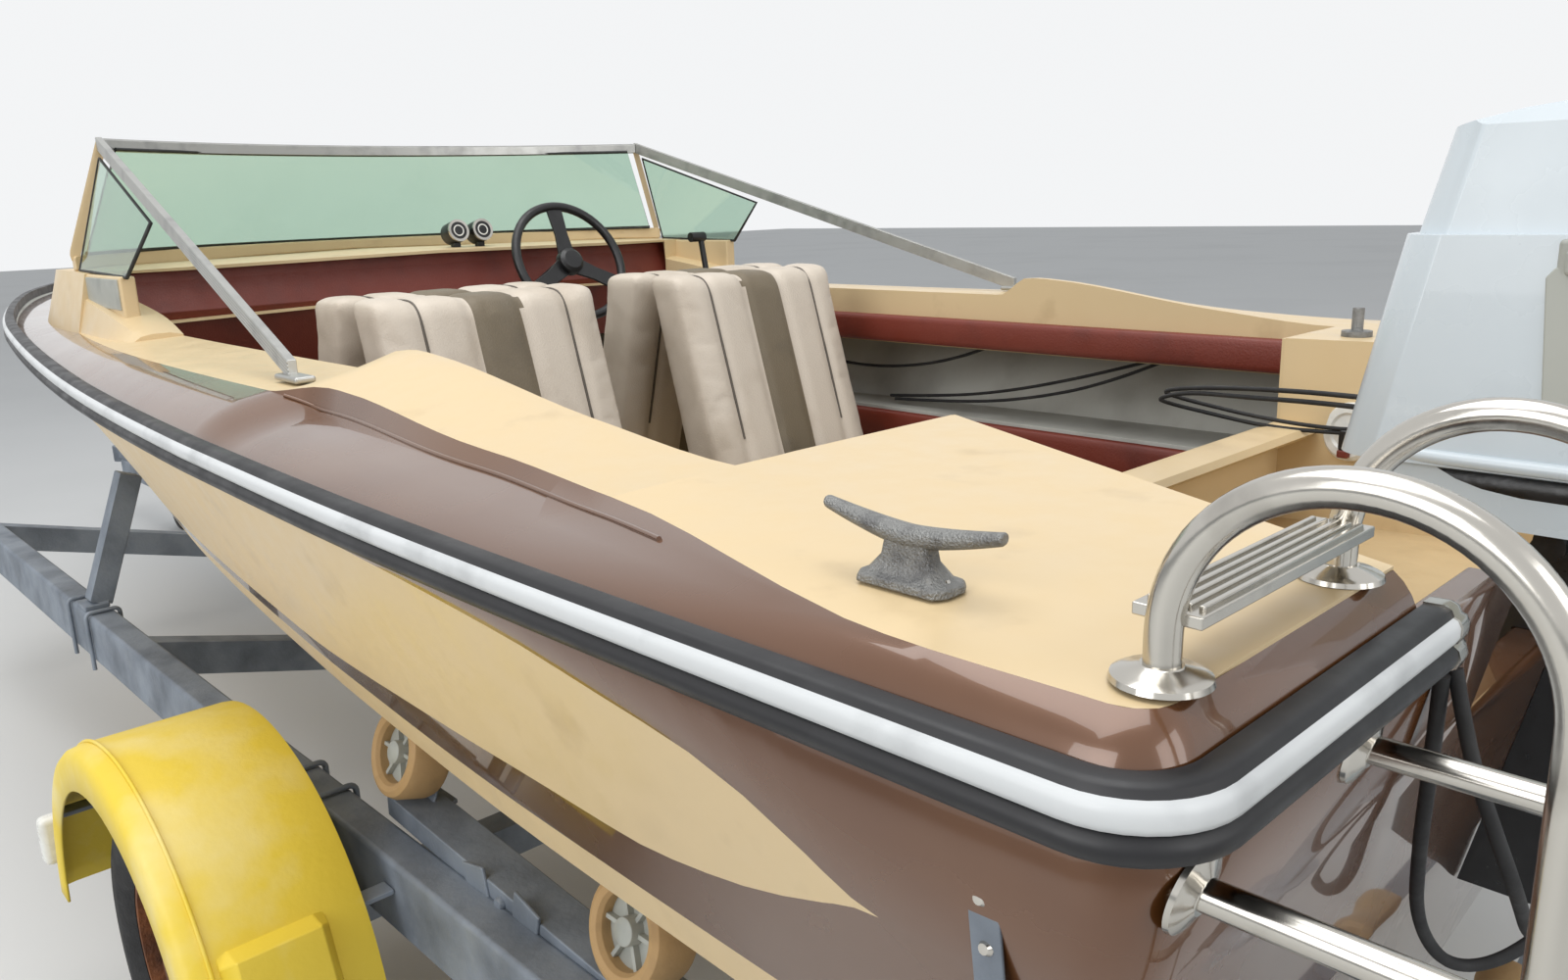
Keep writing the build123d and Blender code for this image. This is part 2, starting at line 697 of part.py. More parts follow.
drawbar_z = -900
drawbar_size = 80
cross_x = (120, 620, 2650, 4180)
cross_size = (60, 80)
cross_drop = 190
cross_end = rail_y - rail_size[0] / 2 - slack
keel_roller_x = (120, 620, 2650)
keel_roller_radius = 40
keel_roller_half = 58
roller_pin = 8
with BuildPart() as cross_members:
    for x in cross_x:
        with BuildSketch(Plane.YZ.offset(stern + x - cross_size[0] / 2)):
            with BuildLine():
                top = deck_height + rail_top - 20
                Polyline((-cross_end, top), (-200, top - cross_drop), (200, top - cross_drop), (cross_end, top),
                         (cross_end, top - cross_size[1]), (200, top - cross_drop - cross_size[1]),
                         (-200, top - cross_drop - cross_size[1]), (-cross_end, top - cross_size[1]), close=True)
            make_face()
        extrude(amount=cross_size[0])
    for x in keel_roller_x:
        pin_z = bottom_at(x, 0)[0] - keel_roller_radius - slack
        for side in (1, -1):
            low, high = sorted((side * (keel_roller_half + 2), side * (keel_roller_half + 8)))
            add(block((x - 25, x + 25), (low, high), (rail_top - 20 - cross_drop - 1, pin_z + 15)))
        add(ball_bar(at(x, 0, pin_z), roller_pin, 2 * keel_roller_half + 30, (0, 1, 0)))
    add(block((3000, 5000), (-drawbar_size / 2 - slack, drawbar_size / 2 + slack), (-1100, -500)),
        mode=Mode.SUBTRACT)

drawbar_range = (2650 + 30 + slack, 6120)
with BuildPart() as drawbar:
    add(block(drawbar_range, (-drawbar_size / 2, drawbar_size / 2),
              (drawbar_z - drawbar_size / 2, drawbar_z + drawbar_size / 2)))

with BuildPart() as coupling:
    add(block((6000, 6200), (-32, 32), (drawbar_z + 40 + slack, drawbar_z + 90)))
    add(ball_bar(at(6205, 0, drawbar_z + 55), nose_ahead - 6205, 74, (0, 0, 1)))
    add(ball_bar(at(6205, 0, drawbar_z + 20), 25.3, 80, (0, 0, 1)), mode=Mode.SUBTRACT)

# Axle and wheels
axle_x = 1620
hub_z = -875
wheel_y = 1118
tyre_radius = 285
tyre_width = 166
rim_radius = 172
with BuildPart() as axle:
    add(block((axle_x - 32, axle_x + 32), (-960, 960), (hub_z - 32, hub_z + 32)))
    for side in (1, -1):
        add(ball_bar(at(axle_x, side * 1025, hub_z), 15, 190, (0, 1, 0)))
        low, high = sorted((side * (rail_y - 30), side * (rail_y + 30)))
        add(block((axle_x - 60, axle_x + 60), (low, high), (hub_z + 30, rail_top - rail_size[1] - slack)))


def tyre(side):
    with BuildPart() as piece:
        centre = at(axle_x, side * wheel_y, hub_z)
        with BuildSketch(Plane(centre, x_dir=(0, 1, 0), z_dir=(1, 0, 0))):
            half = tyre_width / 2
            with BuildLine():
                flank = [(half - 16, rim_radius + 4), (half, rim_radius + 40), (half - 6, tyre_radius - 22),
                         (half - 24, tyre_radius)]
                Polyline(*flank, *[(-y, r) for y, r in reversed(flank)], close=True)
            make_face()
        revolve(axis=Axis(centre, (0, 1, 0)))
    return piece


def rim(side):
    with BuildPart() as piece:
        centre = at(axle_x, side * wheel_y, hub_z)
        add(ball_bar(centre, rim_radius + 3.7, tyre_width - 34, (0, 1, 0)))
        with BuildSketch(Plane(centre + Vector(0, side * 2, 0), z_dir=(0, side, 0))):
            Circle(rim_radius - 6)
            Circle(52, mode=Mode.SUBTRACT)
        extrude(amount=100, mode=Mode.SUBTRACT)
        with BuildSketch(Plane(centre - Vector(0, side * 6, 0), z_dir=(0, -side, 0))):
            Circle(rim_radius - 6)
            Circle(60, mode=Mode.SUBTRACT)
        extrude(amount=100, mode=Mode.SUBTRACT)
        with BuildSketch(Plane(centre - Vector(0, side * 100, 0), z_dir=(0, side, 0))):
            Circle(15 + fit)
        extrude(amount=130, mode=Mode.SUBTRACT)
    return piece


tyre_port, tyre_starboard = tyre(1), tyre(-1)
rim_port, rim_starboard = rim(1), rim(-1)

fender_radius = 392
fender_y = (1004, 1250)
fender_wall = 5
fender_skirt = 70
fender_foot = 20  # lowest edge over the hub's height
fender_bar_angle = 32
with BuildPart() as fenders:
    for side in (1, -1):
        low, high = sorted((side * fender_y[0], side * fender_y[1]))
        inner_low, inner_high = sorted((side * (fender_y[0] - 20), side * (fender_y[1] - fender_wall)))
        with BuildSketch(Plane.XZ.offset(-high)):
            with Locations((stern + axle_x, deck_height + hub_z)):
                Circle(fender_radius)
            with Locations((stern + axle_x, deck_height + hub_z + fender_foot - far / 2)):
                Rectangle(far, far, mode=Mode.SUBTRACT)
        extrude(amount=high - low)
        with BuildSketch(Plane.XZ.offset(-inner_high)):
            with Locations((stern + axle_x, deck_height + hub_z)):
                Circle(fender_radius - fender_wall)
        extrude(amount=inner_high - inner_low, mode=Mode.SUBTRACT)
        with BuildSketch(Plane.XZ.offset(-high - 1)):
            with Locations((stern + axle_x, deck_height + hub_z)):
                Circle(fender_radius - fender_skirt)
        extrude(amount=high - low + 2, mode=Mode.SUBTRACT)
    for side in (1, -1):
        for angle in (fender_bar_angle, 180 - fender_bar_angle):
            out = Vector(cos(radians(angle)), 0, sin(radians(angle)))
            middle = at(axle_x, 0, hub_z) + out * (fender_radius - fender_wall - 3)
            inner = Vector(middle.X, side * (rail_y + rail_size[0] / 2 + slack), middle.Z)
            outer = Vector(middle.X, side * (fender_y[1] - 2), middle.Z)
            add(flat_bar(inner, outer, 8, 34, (out.X, 0, out.Z)))

# Rollers under the hull: two rockers at the sides and three rollers under the keel
side_roller_x = (800, 1370)
side_roller_y = 850
side_roller_radius = 70
side_roller_half = 33
roller_places = []
for x in side_roller_x:
    z, slope = bottom_at(x, side_roller_y)
    lean = atan2(slope, 1)
    reach = side_roller_radius + slack
    roller_places.append((x, side_roller_y + reach * sin(lean), z - reach * cos(lean), lean))

with BuildPart() as hull_rollers:
    for side in (1, -1):
        for x, y, z, lean in roller_places:
            along = (0, side * cos(lean), sin(lean))
            add(ball_bar(at(x, side * y, z), side_roller_radius, 2 * side_roller_half, along))
            add(ball_bar(at(x, side * y, z), roller_pin + fit, 2 * side_roller_half + 2, along),
                mode=Mode.SUBTRACT)
    for x in keel_roller_x:
        pin_at = at(x, 0, bottom_at(x, 0)[0] - keel_roller_radius - slack)
        add(ball_bar(pin_at, keel_roller_radius, 2 * keel_roller_half, (0, 1, 0)))
        add(ball_bar(pin_at, roller_pin + fit, 2 * keel_roller_half + 2, (0, 1, 0)), mode=Mode.SUBTRACT)

arm_drop = 100
arm_size = 40
fork_plate = 5
with BuildPart() as roller_arms:
    for side in (1, -1):
        (x0, y0, z0, _), (x1, y1, z1, _) = roller_places
        arm_y = side * (rail_y - rail_size[0] / 2 - arm_size)
        add(flat_bar(at(x0 - 50, arm_y, z0 - arm_drop), at(x1 + 50, arm_y, z1 - arm_drop), arm_size, arm_size))
        middle_z = (z0 + z1) / 2 - arm_drop
        add(ball_bar(at((x0 + x1) / 2, arm_y + side * arm_size / 2, middle_z), 20, arm_size - 2 * slack, (0, 1, 0)))
        for x, y, z, lean in roller_places:
            along = Vector(0, side * cos(lean), sin(lean))
            down = Vector(0, side * sin(lean), -cos(lean))
            middle = at(x, side * y, z)
            ends = [middle + along * e * (side_roller_half + 2 + fork_plate / 2) for e in (1, -1)]
            add(ball_bar(middle, roller_pin, 2 * side_roller_half + 24, along))
            for end in ends:
                add(flat_bar(end - down * 14, end + down * (arm_drop - 14), 44, fork_plate, (1, 0, 0)))
            add(flat_bar(ends[0] + down * (arm_drop - 17), ends[1] + down * (arm_drop - 17), 44, 6, (1, 0, 0)))

with BuildPart() as bow_posts:
    for side in (1, -1):
        add(block((2910, 2990), (side * rail_y - 28, side * rail_y + 28), (rail_top + slack, rail_top + 10)))
        add(flat_bar(at(2950, side * 912, rail_top + 9), at(2950, side * 800, -330), 50, 50, (1, 0, 0)))

winch_x = 5280
winch_z = -230
snubber_x = (4900, 5058)
snubber_z = (-270, -190)
with BuildPart() as winch_stand:
    add(block((winch_x - 70, winch_x), (-35, 35), (drawbar_z + 40 + slack, -180)))
    add(block((snubber_x[1] + slack, winch_x - 60), (-30, 30), (-250, -200)))
    add(block((winch_x - 1, winch_x + 6), (-48, 48), (winch_z - 70, winch_z + 40)))
    for side in (1, -1):
        low, high = sorted((side * 42, side * 48))
        add(side_profile([(winch_x, winch_z - 70), (winch_x + 110, winch_z - 20), (winch_x + 110, winch_z + 40),
                          (winch_x, winch_z + 40)], (low, high)))
    add(ball_bar(at(winch_x + 60, 0, winch_z), 26, 90, (0, 1, 0)))
    add(ball_bar(at(winch_x + 60, -57, winch_z), 62, 18, (0, 1, 0)))
    add(flat_bar(at(winch_x + 60, -71, winch_z), at(winch_x + 200, -71, winch_z + 60), 12, 24))
    add(ball_bar(at(winch_x + 190, -110, winch_z + 56), 14, 90, (0, 1, 0)))

with BuildPart() as bow_snubber:
    add(block(snubber_x, (-48, 48), snubber_z))
    add(boat_body(-slack), mode=Mode.SUBTRACT)

# Jockey wheel
jockey_x = 5720
jockey_y = -40 - 40
jockey_radius = 100
with BuildPart() as jockey_clamp:
    add(ball_bar(at(jockey_x, jockey_y, -760), 27, 320, (0, 0, 1)))
    add(ball_bar(at(jockey_x, jockey_y, -760), 18 + fit, 400, (0, 0, 1)), mode=Mode.SUBTRACT)
    add(block((jockey_x - 30, jockey_x + 30), (jockey_y + 24, -40 - slack), (drawbar_z - 40, drawbar_z + 40)))

with BuildPart() as jockey_fork:
    add(ball_bar(at(jockey_x, jockey_y, -750), 18, 400, (0, 0, 1)))
    add(block((jockey_x - 60, jockey_x + 25), (jockey_y - 40, jockey_y + 40), (-955, -940)))
    for dy in (-36, 36):
        low = jockey_y + dy - 4
        add(side_profile([(jockey_x - 60, -942), (jockey_x + 25, -942), (jockey_x - 18, -1075),
                          (jockey_x - 54, -1075)], (low, low + 8)))
    add(ball_bar(at(jockey_x - 36, jockey_y, -1060), 8, 90, (0, 1, 0)))

with BuildPart() as jockey_wheel:
    add(ball_bar(at(jockey_x - 36, jockey_y, -1060), jockey_radius, 50, (0, 1, 0)))
    add(ball_bar(at(jockey_x - 36, jockey_y, -1060), 8 + fit, 60, (0, 1, 0)), mode=Mode.SUBTRACT)

# Outboard motor
tilt_x, tilt_z = 100, -120
steer_x = -70
prop_z = -930
leg_top = -91
pan_top = -30
pan_middle = -18
pan_length = 640
pan_width = 380
clamp_top = transom_top + slack
with BuildPart() as clamp_bracket:
    for side in (1, -1):
        low, high = sorted((side * 92, side * 108))
        # the hook's front edge is cut back, so that the pan clears it at full tilt
        hook = [(122, -120), (164, -200), (180, -330), (transom_fore(-330), -330), (transom_fore(clamp_top), clamp_top)]
        plate = [(transom_aft(clamp_top), clamp_top), (transom_aft(-560), -560), (70, -560), (-10, -300), (60, -110)]
        add(side_profile(hook + plate, (low, high)))
        add(ball_bar(at(tilt_x, side * 100, tilt_z), 22, 16, (0, 1, 0)))
    add(ball_bar(at(tilt_x, 0, tilt_z), 16, 260, (0, 1, 0)))
    add(block((transom_aft(clamp_top) + 2, transom_fore(clamp_top) - 2), (-92, 92), (clamp_top, clamp_top + 10)))

with BuildPart() as swivel_bracket:
    add(ball_bar(at(tilt_x, 0, tilt_z), 26, 160, (0, 1, 0)))
    add(block((steer_x, tilt_x), (-60, 60), (-146, -112)))
    add(ball_bar(at(steer_x, 0, (-112 - 520) / 2), 34, 520 - 112, (0, 0, 1)))
    add(ball_bar(at(steer_x, 0, -316), 15 + fit, 600, (0, 0, 1)), mode=Mode.SUBTRACT)
    add(ball_bar(at(tilt_x, 0, tilt_z), 16 + fit, 300, (0, 1, 0)), mode=Mode.SUBTRACT)

def crossed(side_points, front_points, round_by, inset=0):
    """The form that has one outline from the side and one from the front, its upright edges rounded."""
    with BuildPart() as piece:
        with BuildSketch(Plane.XZ):
            with BuildLine():
                Polyline(*[(stern + px, deck_height + pz) for px, pz in side_points], close=True)
            make_face()
            if inset:
                offset(amount=-inset, kind=Kind.INTERSECTION)
        extrude(amount=far, both=True)
        with BuildSketch(Plane.YZ):
            with BuildLine():
                port = [(py, deck_height + pz) for py, pz in front_points]
                Polyline(*port, *[(-py, pz) for py, pz in reversed(port)], close=True)
            make_face()
            if inset:
                offset(amount=-inset, kind=Kind.INTERSECTION)
        extrude(amount=4 * far, both=True, mode=Mode.INTERSECT)
        upright = [edge for edge in piece.edges() if abs((edge % 0.5).Z) > 0.9]
        fillet(upright, round_by - inset)
    return piece.part


plate_top = -760  # the flat plate over the propeller
leg_side = [(-117, leg_top), (-297, leg_top), (-278, -420), (-279, plate_top + slack), (-115, plate_top + slack),
            (-126, -420)]
leg_front = [(62, leg_top), (42, -420), (34, plate_top + slack)]
with BuildPart() as motor_leg:
    add(crossed(leg_side, leg_front, 24))
    add(ball_bar(at(steer_x, 0, -326), 15, 470, (0, 0, 1)))
    add(block((-180, steer_x + 30), (-36, 36), (-110, leg_top)))
    add(block((-180, steer_x + 30), (-30, 30), (-560, -522)))
    with BuildSketch(Plane.XY.offset(deck_height + leg_top - 1)):
        with Locations((stern + pan_middle, 0)):
            RectangleRounded(pan_length, pan_width, 60)
    extrude(amount=pan_top - leg_top + 1)

torpedo_radius = 52
nose = (-20, 95)  # front of the gearcase and the length of its nose
with BuildPart() as gearcase:
    with BuildSketch(Plane.XZ):
        with BuildLine():
            tip = [(nose[0] - nose[1] * (1 - cos(radians(turn))), torpedo_radius * sin(radians(turn)))
                   for turn in range(15, 91, 15)]
            outline = [(tip[0][0], 0)] + tip + [(-290, torpedo_radius), (-352, 38), (-352, 0)]
            Polyline(*[(stern + px, deck_height + prop_z + pz) for px, pz in outline], close=True)
        make_face()
    revolve(axis=Axis(at(0, 0, prop_z), (1, 0, 0)))
    add(crossed([(-90, plate_top - 9), (-290, plate_top - 9), (-288, -900), (-72, -900)],
                [(30, plate_top - 9), (26, -900)], 20))
    add(side_profile([(-90, prop_z - 40), (-270, prop_z - 40), (-262, -1068), (-190, -1080)], (-6, 6)))
    add(plan_profile([(-40, 30), (-90, 62), (-250, 92), (-420, 92), (-452, 60), (-452, -60), (-420, -92),
                      (-250, -92), (-90, -62), (-40, -30)], (plate_top - 10, plate_top)))
    add(ball_bar(at(75 - tail_behind, 0, prop_z), 11, 150, (1, 0, 0)))

# Cowl: a tapered lower shell, a step, and a top that rises aft
cowl_foot = pan_top + slack
cowl_step = 218
cowl_wall = 8


def cowl_form(inset):
    """The cowl's closed form, or the same form inside its wall and open below."""
    foot = cowl_foot - 3 * inset
    with BuildPart() as piece:
        add(crossed([(317, foot), (271, cowl_step), (-350, cowl_step), (-345, foot)],
                    [(200, foot), (184, cowl_step)], 48, inset))
        add(crossed([(264, cowl_step - 20), (237, 329), (165, 345), (-270, 400), (-318, 385), (-344, cowl_step - 20)],
                    [(177, cowl_step - 20), (160, 330), (120, 402)], 40, inset))
    return piece.part


with BuildPart() as motor_cowl:
    add(cowl_form(0))
    add(cowl_form(cowl_wall), mode=Mode.SUBTRACT)

with BuildPart() as engine_block:
    add(block((-250, 120), (-110, 110), (pan_top + slack, 250)))

# Propeller: blade sections from the hub out, each turned to its own pitch angle
Blade = namedtuple("Blade", "radius half_chord thickness pitch")
blade_rows = (Blade(28, 30, 5, 58), Blade(85, 50, 4, 36), Blade(124, 42, 3, 27), Blade(142, 18, 2, 24))
prop_x = -410
with BuildPart() as propeller:
    add(ball_bar(at(prop_x, 0, prop_z), 36, 90, (1, 0, 0)))
    for turn in range(3):
        angle = radians(90 + 120 * turn)
        radial = Vector(0, cos(angle), sin(angle))
        across = Vector(0, -sin(angle), cos(angle))
        for row in blade_rows:
            chord_way = Vector(1, 0, 0) * sin(radians(row.pitch)) + across * cos(radians(row.pitch))
            with BuildSketch(Plane(at(prop_x, 0, prop_z) + radial * row.radius, x_dir=chord_way, z_dir=radial)):
                Rectangle(2 * row.half_chord, row.thickness)
        loft(ruled=True)
    add(ball_bar(at(prop_x, 0, prop_z), 11 + fit, 200, (1, 0, 0)), mode=Mode.SUBTRACT)

pieces = {
    "hull": hull, "deck": deck, "rub_rail": rub_rail, "cockpit_floor": cockpit_floor,
    "side_lockers": side_lockers, "side_padding": side_padding, "dashboard": dashboard,
    "seat_bases": seat_bases, "seat_cushions": seat_cushions, "seat_backs": seat_backs,
    "windscreen_frame": windscreen_frame, "windscreen_glass": windscreen_glass,
    "windscreen_base": windscreen_base, "steering_wheel": steering_wheel, "helm_column": helm_column,
    "throttle_control": throttle_control, "gauges": gauges, "mooring_fittings": mooring_fittings,
    "stub_post": stub_post, "boarding_ladder": boarding_ladder, "trailer_rails": trailer_rails,
    "cross_members": cross_members, "drawbar": drawbar, "coupling": coupling, "axle": axle,
    "tyre_port": tyre_port, "tyre_starboard": tyre_starboard, "rim_port": rim_port,
    "rim_starboard": rim_starboard, "fenders": fenders, "hull_rollers": hull_rollers,
    "roller_arms": roller_arms, "bow_posts": bow_posts, "winch_stand": winch_stand,
    "bow_snubber": bow_snubber, "jockey_clamp": jockey_clamp, "jockey_fork": jockey_fork,
    "jockey_wheel": jockey_wheel, "clamp_bracket": clamp_bracket, "swivel_bracket": swivel_bracket,
    "motor_leg": motor_leg, "gearcase": gearcase, "engine_block": engine_block, "motor_cowl": motor_cowl,
    "propeller": propeller,
}
for name, piece in pieces.items():
    piece.part.label = name
    export_step(piece.part, f"parts/{name}.step")
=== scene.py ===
import json
from collections import namedtuple
from math import atan2, copysign, cos, exp, pi, radians, sin, sqrt, tan

import bmesh
import bpy
from mathutils import Matrix, Vector
from mathutils.bvhtree import BVHTree


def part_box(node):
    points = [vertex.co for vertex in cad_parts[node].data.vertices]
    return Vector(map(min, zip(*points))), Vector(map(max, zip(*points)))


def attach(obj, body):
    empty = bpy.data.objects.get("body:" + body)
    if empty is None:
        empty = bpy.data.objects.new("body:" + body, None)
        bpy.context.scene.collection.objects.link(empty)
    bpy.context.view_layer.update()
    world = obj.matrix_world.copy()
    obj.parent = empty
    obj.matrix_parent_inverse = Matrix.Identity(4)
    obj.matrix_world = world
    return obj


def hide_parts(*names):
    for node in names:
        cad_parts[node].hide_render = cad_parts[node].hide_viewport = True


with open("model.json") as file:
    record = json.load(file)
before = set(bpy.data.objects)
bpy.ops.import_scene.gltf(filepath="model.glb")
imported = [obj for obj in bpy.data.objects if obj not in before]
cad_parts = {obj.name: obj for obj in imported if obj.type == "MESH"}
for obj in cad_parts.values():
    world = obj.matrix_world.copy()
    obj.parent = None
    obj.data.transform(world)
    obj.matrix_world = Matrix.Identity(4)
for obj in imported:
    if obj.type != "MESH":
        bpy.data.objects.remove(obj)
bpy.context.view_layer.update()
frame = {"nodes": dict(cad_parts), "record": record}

# An open speedboat on its trailer. Places are in millimetres from the transom, the centreline and the aft deck;
# wall thicknesses, tube radii, turned profiles and edge roundings are in metres.
scene = bpy.context.scene
BOAT = "boat_on_trailer"
SIDES = ((1, "port"), (-1, "starboard"))
SQUARE = ((-1, -1), (1, -1), (1, 1), (-1, 1))
COUPLING_AHEAD, ENGINE_ABOVE = 6.250, 0.250
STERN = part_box("coupling")[1][0] - COUPLING_AHEAD
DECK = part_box("engine_block")[1][2] - ENGINE_ABOVE


def at(x, y, z):
    return Vector((STERN + x / 1000, y / 1000, DECK + z / 1000))


def mixed(a, b, share):
    return a + (b - a) * share


def spread(side, inner, outer):
    """Low and high y of something that lies between two distances out on a side."""
    return sorted((side * inner, side * outer))


def polar(radius, degrees):
    return radius * cos(radians(degrees)), radius * sin(radians(degrees))


def squared_off(value, power):
    """A circle's coordinate, drawn out towards a square's."""
    return copysign(abs(value) ** power, value)


def flipped(profile):
    """The other half of a turned profile that is the same at both ends."""
    return [(r, -h) for r, h in reversed(profile)]


def table(fields, rows):
    """Rows of places along the boat, with a name for each column."""
    kind = namedtuple("Row", fields)
    return [kind(*row) for row in rows]


def placed(name, data):
    obj = bpy.data.objects.new(name, data)
    scene.collection.objects.link(obj)
    return obj


# Finishes
FINISHES = {}
GLOSS_FINER = 2.3


def linear(rgb):
    return [((c / 255 + 0.055) / 1.055) ** 2.4 for c in rgb] + [1]


def with_values(made, **sockets):
    """The shader node, with these values in its sockets."""
    for key, value in sockets.items():
        made.inputs[key.replace("_", " ").title()].default_value = value
    return made


def shader_node(tree, kind, **sockets):
    return with_values(tree.nodes.new("ShaderNode" + kind), **sockets)


def finish(name, color, worn, spots, reach=(0.5, 0.75), rough=(0.3, 0.5), bump=0.0, grain=80.0, **sockets):
    """A finish whose colour, gloss and surface vary with place."""
    made = FINISHES[name] = bpy.data.materials.new(name)
    made.use_nodes = True
    tree = made.node_tree
    shader = with_values(tree.nodes["Principled BSDF"], **sockets)
    link = tree.links.new
    place = shader_node(tree, "TexCoord").outputs["Object"]

    def noise(scale, low, high, to_low, to_high):
        speckle = shader_node(tree, "TexNoise", scale=scale, detail=6)
        ramp = shader_node(tree, "MapRange", from_min=low, from_max=high, to_min=to_low, to_max=to_high)
        link(place, speckle.inputs["Vector"])
        link(speckle.outputs["Fac"], ramp.inputs["Value"])
        return ramp.outputs["Result"]

    mix = shader_node(tree, "Mix")
    mix.data_type = "RGBA"
    mix.inputs[6].default_value = linear(color)
    mix.inputs[7].default_value = linear(worn)
    link(noise(spots, *reach, 0, 1), mix.inputs[0])
    link(mix.outputs[2], shader.inputs["Base Color"])
    link(noise(spots * GLOSS_FINER, 0.3, 0.7, *rough), shader.inputs["Roughness"])
    if bump:
        lift = shader_node(tree, "Bump", strength=bump, distance=0.002)
        link(noise(grain, 0.2, 0.8, 0, 1), lift.inputs["Height"])
        link(lift.outputs["Normal"], shader.inputs["Normal"])
    return made


brown = finish("gelcoat_brown", (98, 60, 30), (110, 72, 40), 3, rough=(0.2, 0.32), metallic=0.25,
               coat_weight=1.0)
cream = finish("gelcoat_cream", (214, 190, 148), (190, 166, 126), 9, (0.62, 0.85), rough=(0.28, 0.45))
liner = finish("liner_grey", (188, 188, 180), (160, 158, 150), 5, rough=(0.5, 0.7), bump=0.2, grain=40)
finish("carpet", (84, 74, 62), (60, 52, 44), 20, rough=(0.9, 1.0), bump=1.0, grain=400)
red = finish("vinyl_red", (112, 44, 30), (92, 36, 26), 7, rough=(0.38, 0.55), bump=0.25, grain=260)
vinyl = finish("vinyl_cream", (206, 194, 178), (184, 170, 152), 6, rough=(0.42, 0.6), bump=0.3, grain=300)
taupe = finish("vinyl_taupe", (112, 100, 80), (98, 88, 72), 8, rough=(0.45, 0.6), bump=0.3, grain=300)
piping = finish("piping", (86, 78, 68), (70, 64, 56), 20, rough=(0.4, 0.6))
rail_white = finish("rail_insert", (206, 208, 208), (176, 178, 178), 12, rough=(0.3, 0.5))
rubber = finish("rail_rubber", (22, 22, 25), (38, 38, 40), 10, rough=(0.35, 0.55))
alloy = finish("anodised", (176, 176, 172), (150, 150, 148), 18, rough=(0.3, 0.46), metallic=0.9)
casting = finish("cast_alloy", (136, 136, 134), (108, 108, 108), 60, (0.45, 0.7), (0.35, 0.6), 0.8, 500,
                 metallic=0.85)
steel = finish("stainless", (196, 192, 184), (160, 156, 148), 14, (0.55, 0.8), (0.1, 0.24), metallic=1.0)
galvanised = finish("galvanised", (138, 146, 156), (104, 111, 120), 9, (0.4, 0.7), (0.5, 0.7), 0.3, 120,
                    metallic=0.35)
tread = finish("tyre", (30, 30, 31), (58, 56, 52), 16, (0.55, 0.8), (0.75, 0.95), 0.4, 200)
rust = finish("rusty_steel", (128, 78, 44), (74, 44, 28), 16, (0.4, 0.65), (0.75, 0.95), 0.9, 160)
yellow = finish("fender_yellow", (226, 198, 62), (230, 212, 138), 5, (0.5, 0.72), (0.4, 0.65), 0.2, 60)
tan_rubber = finish("roller_rubber", (178, 144, 98), (140, 112, 76), 12, rough=(0.6, 0.8), bump=0.3)
black = finish("black_plastic", (20, 20, 21), (34, 34, 35), 20, rough=(0.3, 0.5), bump=0.1)
black_rubber = finish("black_rubber", (26, 26, 27), (44, 43, 42), 12, rough=(0.6, 0.8), bump=0.3)
motor_black = finish("motor_black", (18, 18, 20), (120, 120, 118), 26, (0.66, 0.72), (0.25, 0.45), 0.3, 60)
motor_white = finish("motor_white", (196, 205, 210), (186, 195, 200), 5, (0.5, 0.9), (0.22, 0.36),
                     coat_weight=0.3)
panel_grey = finish("panel_grey", (168, 170, 162), (146, 148, 142), 14, rough=(0.35, 0.5))
lamp_white = finish("lamp_white", (226, 226, 220), (200, 198, 190), 20, rough=(0.2, 0.35))
glass = finish("glass", (186, 214, 196), (178, 206, 188), 2, rough=(0.015, 0.03), transmission_weight=1.0)
seal = finish("glass_seal", (30, 32, 31), (44, 46, 45), 30, rough=(0.5, 0.7))


# Mesh building
class Skin:
    """Points, faces and their finishes, gathered piece by piece."""

    def __init__(self):
        self.points, self.faces, self.kinds = [], [], []

    def face(self, points, kind=0):
        start = len(self.points)
        self.points += points
        self.faces.append(list(range(start, start + len(points))))
        self.kinds.append(kind)

    def grid(self, rows, kinds=0, around=False):
        """Quads between rows of equally many points; kinds is one finish or one for each step across."""
        start, width = len(self.points), len(rows[0])
        for row in rows:
            self.points += row
        for i in range(len(rows) - 1):
            for j in range(width if around else width - 1):
                a, b = start + i * width + j, start + i * width + (j + 1) % width
                self.faces.append([a, b, b + width, a + width])
                self.kinds.append(kinds if isinstance(kinds, int) else kinds[j])

    def loft(self, rings, kinds=0):
        """Closed rings joined by quads, with a face over each end."""
        self.grid(rings, kinds, around=True)
        self.face(rings[0][::-1])
        self.face(rings[-1])

    def mirrored(self):
        """The same on the other side too."""
        count = len(self.points)
        self.points += [Vector((p.x, -p.y, p.z)) for p in self.points]
        self.faces += [[count + i for i in reversed(face)] for face in self.faces]
        self.kinds += list(self.kinds)

    def piece(self, name, looks, body=BOAT, angle=35, weld=0.0003):
        mesh = bpy.data.meshes.new(name)
        mesh.from_pydata([p[:] for p in self.points], [], self.faces)
        mesh.polygons.foreach_set("material_index", self.kinds)
        for look in looks:
            mesh.materials.append(look)
        work = bmesh.new()
        work.from_mesh(mesh)
        bmesh.ops.remove_doubles(work, verts=work.verts, dist=weld)
        bmesh.ops.dissolve_degenerate(work, edges=work.edges, dist=weld)
        bmesh.ops.recalc_face_normals(work, faces=work.faces)
        work.to_mesh(mesh)
        work.free()
        mesh.shade_smooth()
        mesh.set_sharp_from_angle(angle=radians(angle))
        obj = placed(name, mesh)
        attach(obj, body)
        return obj


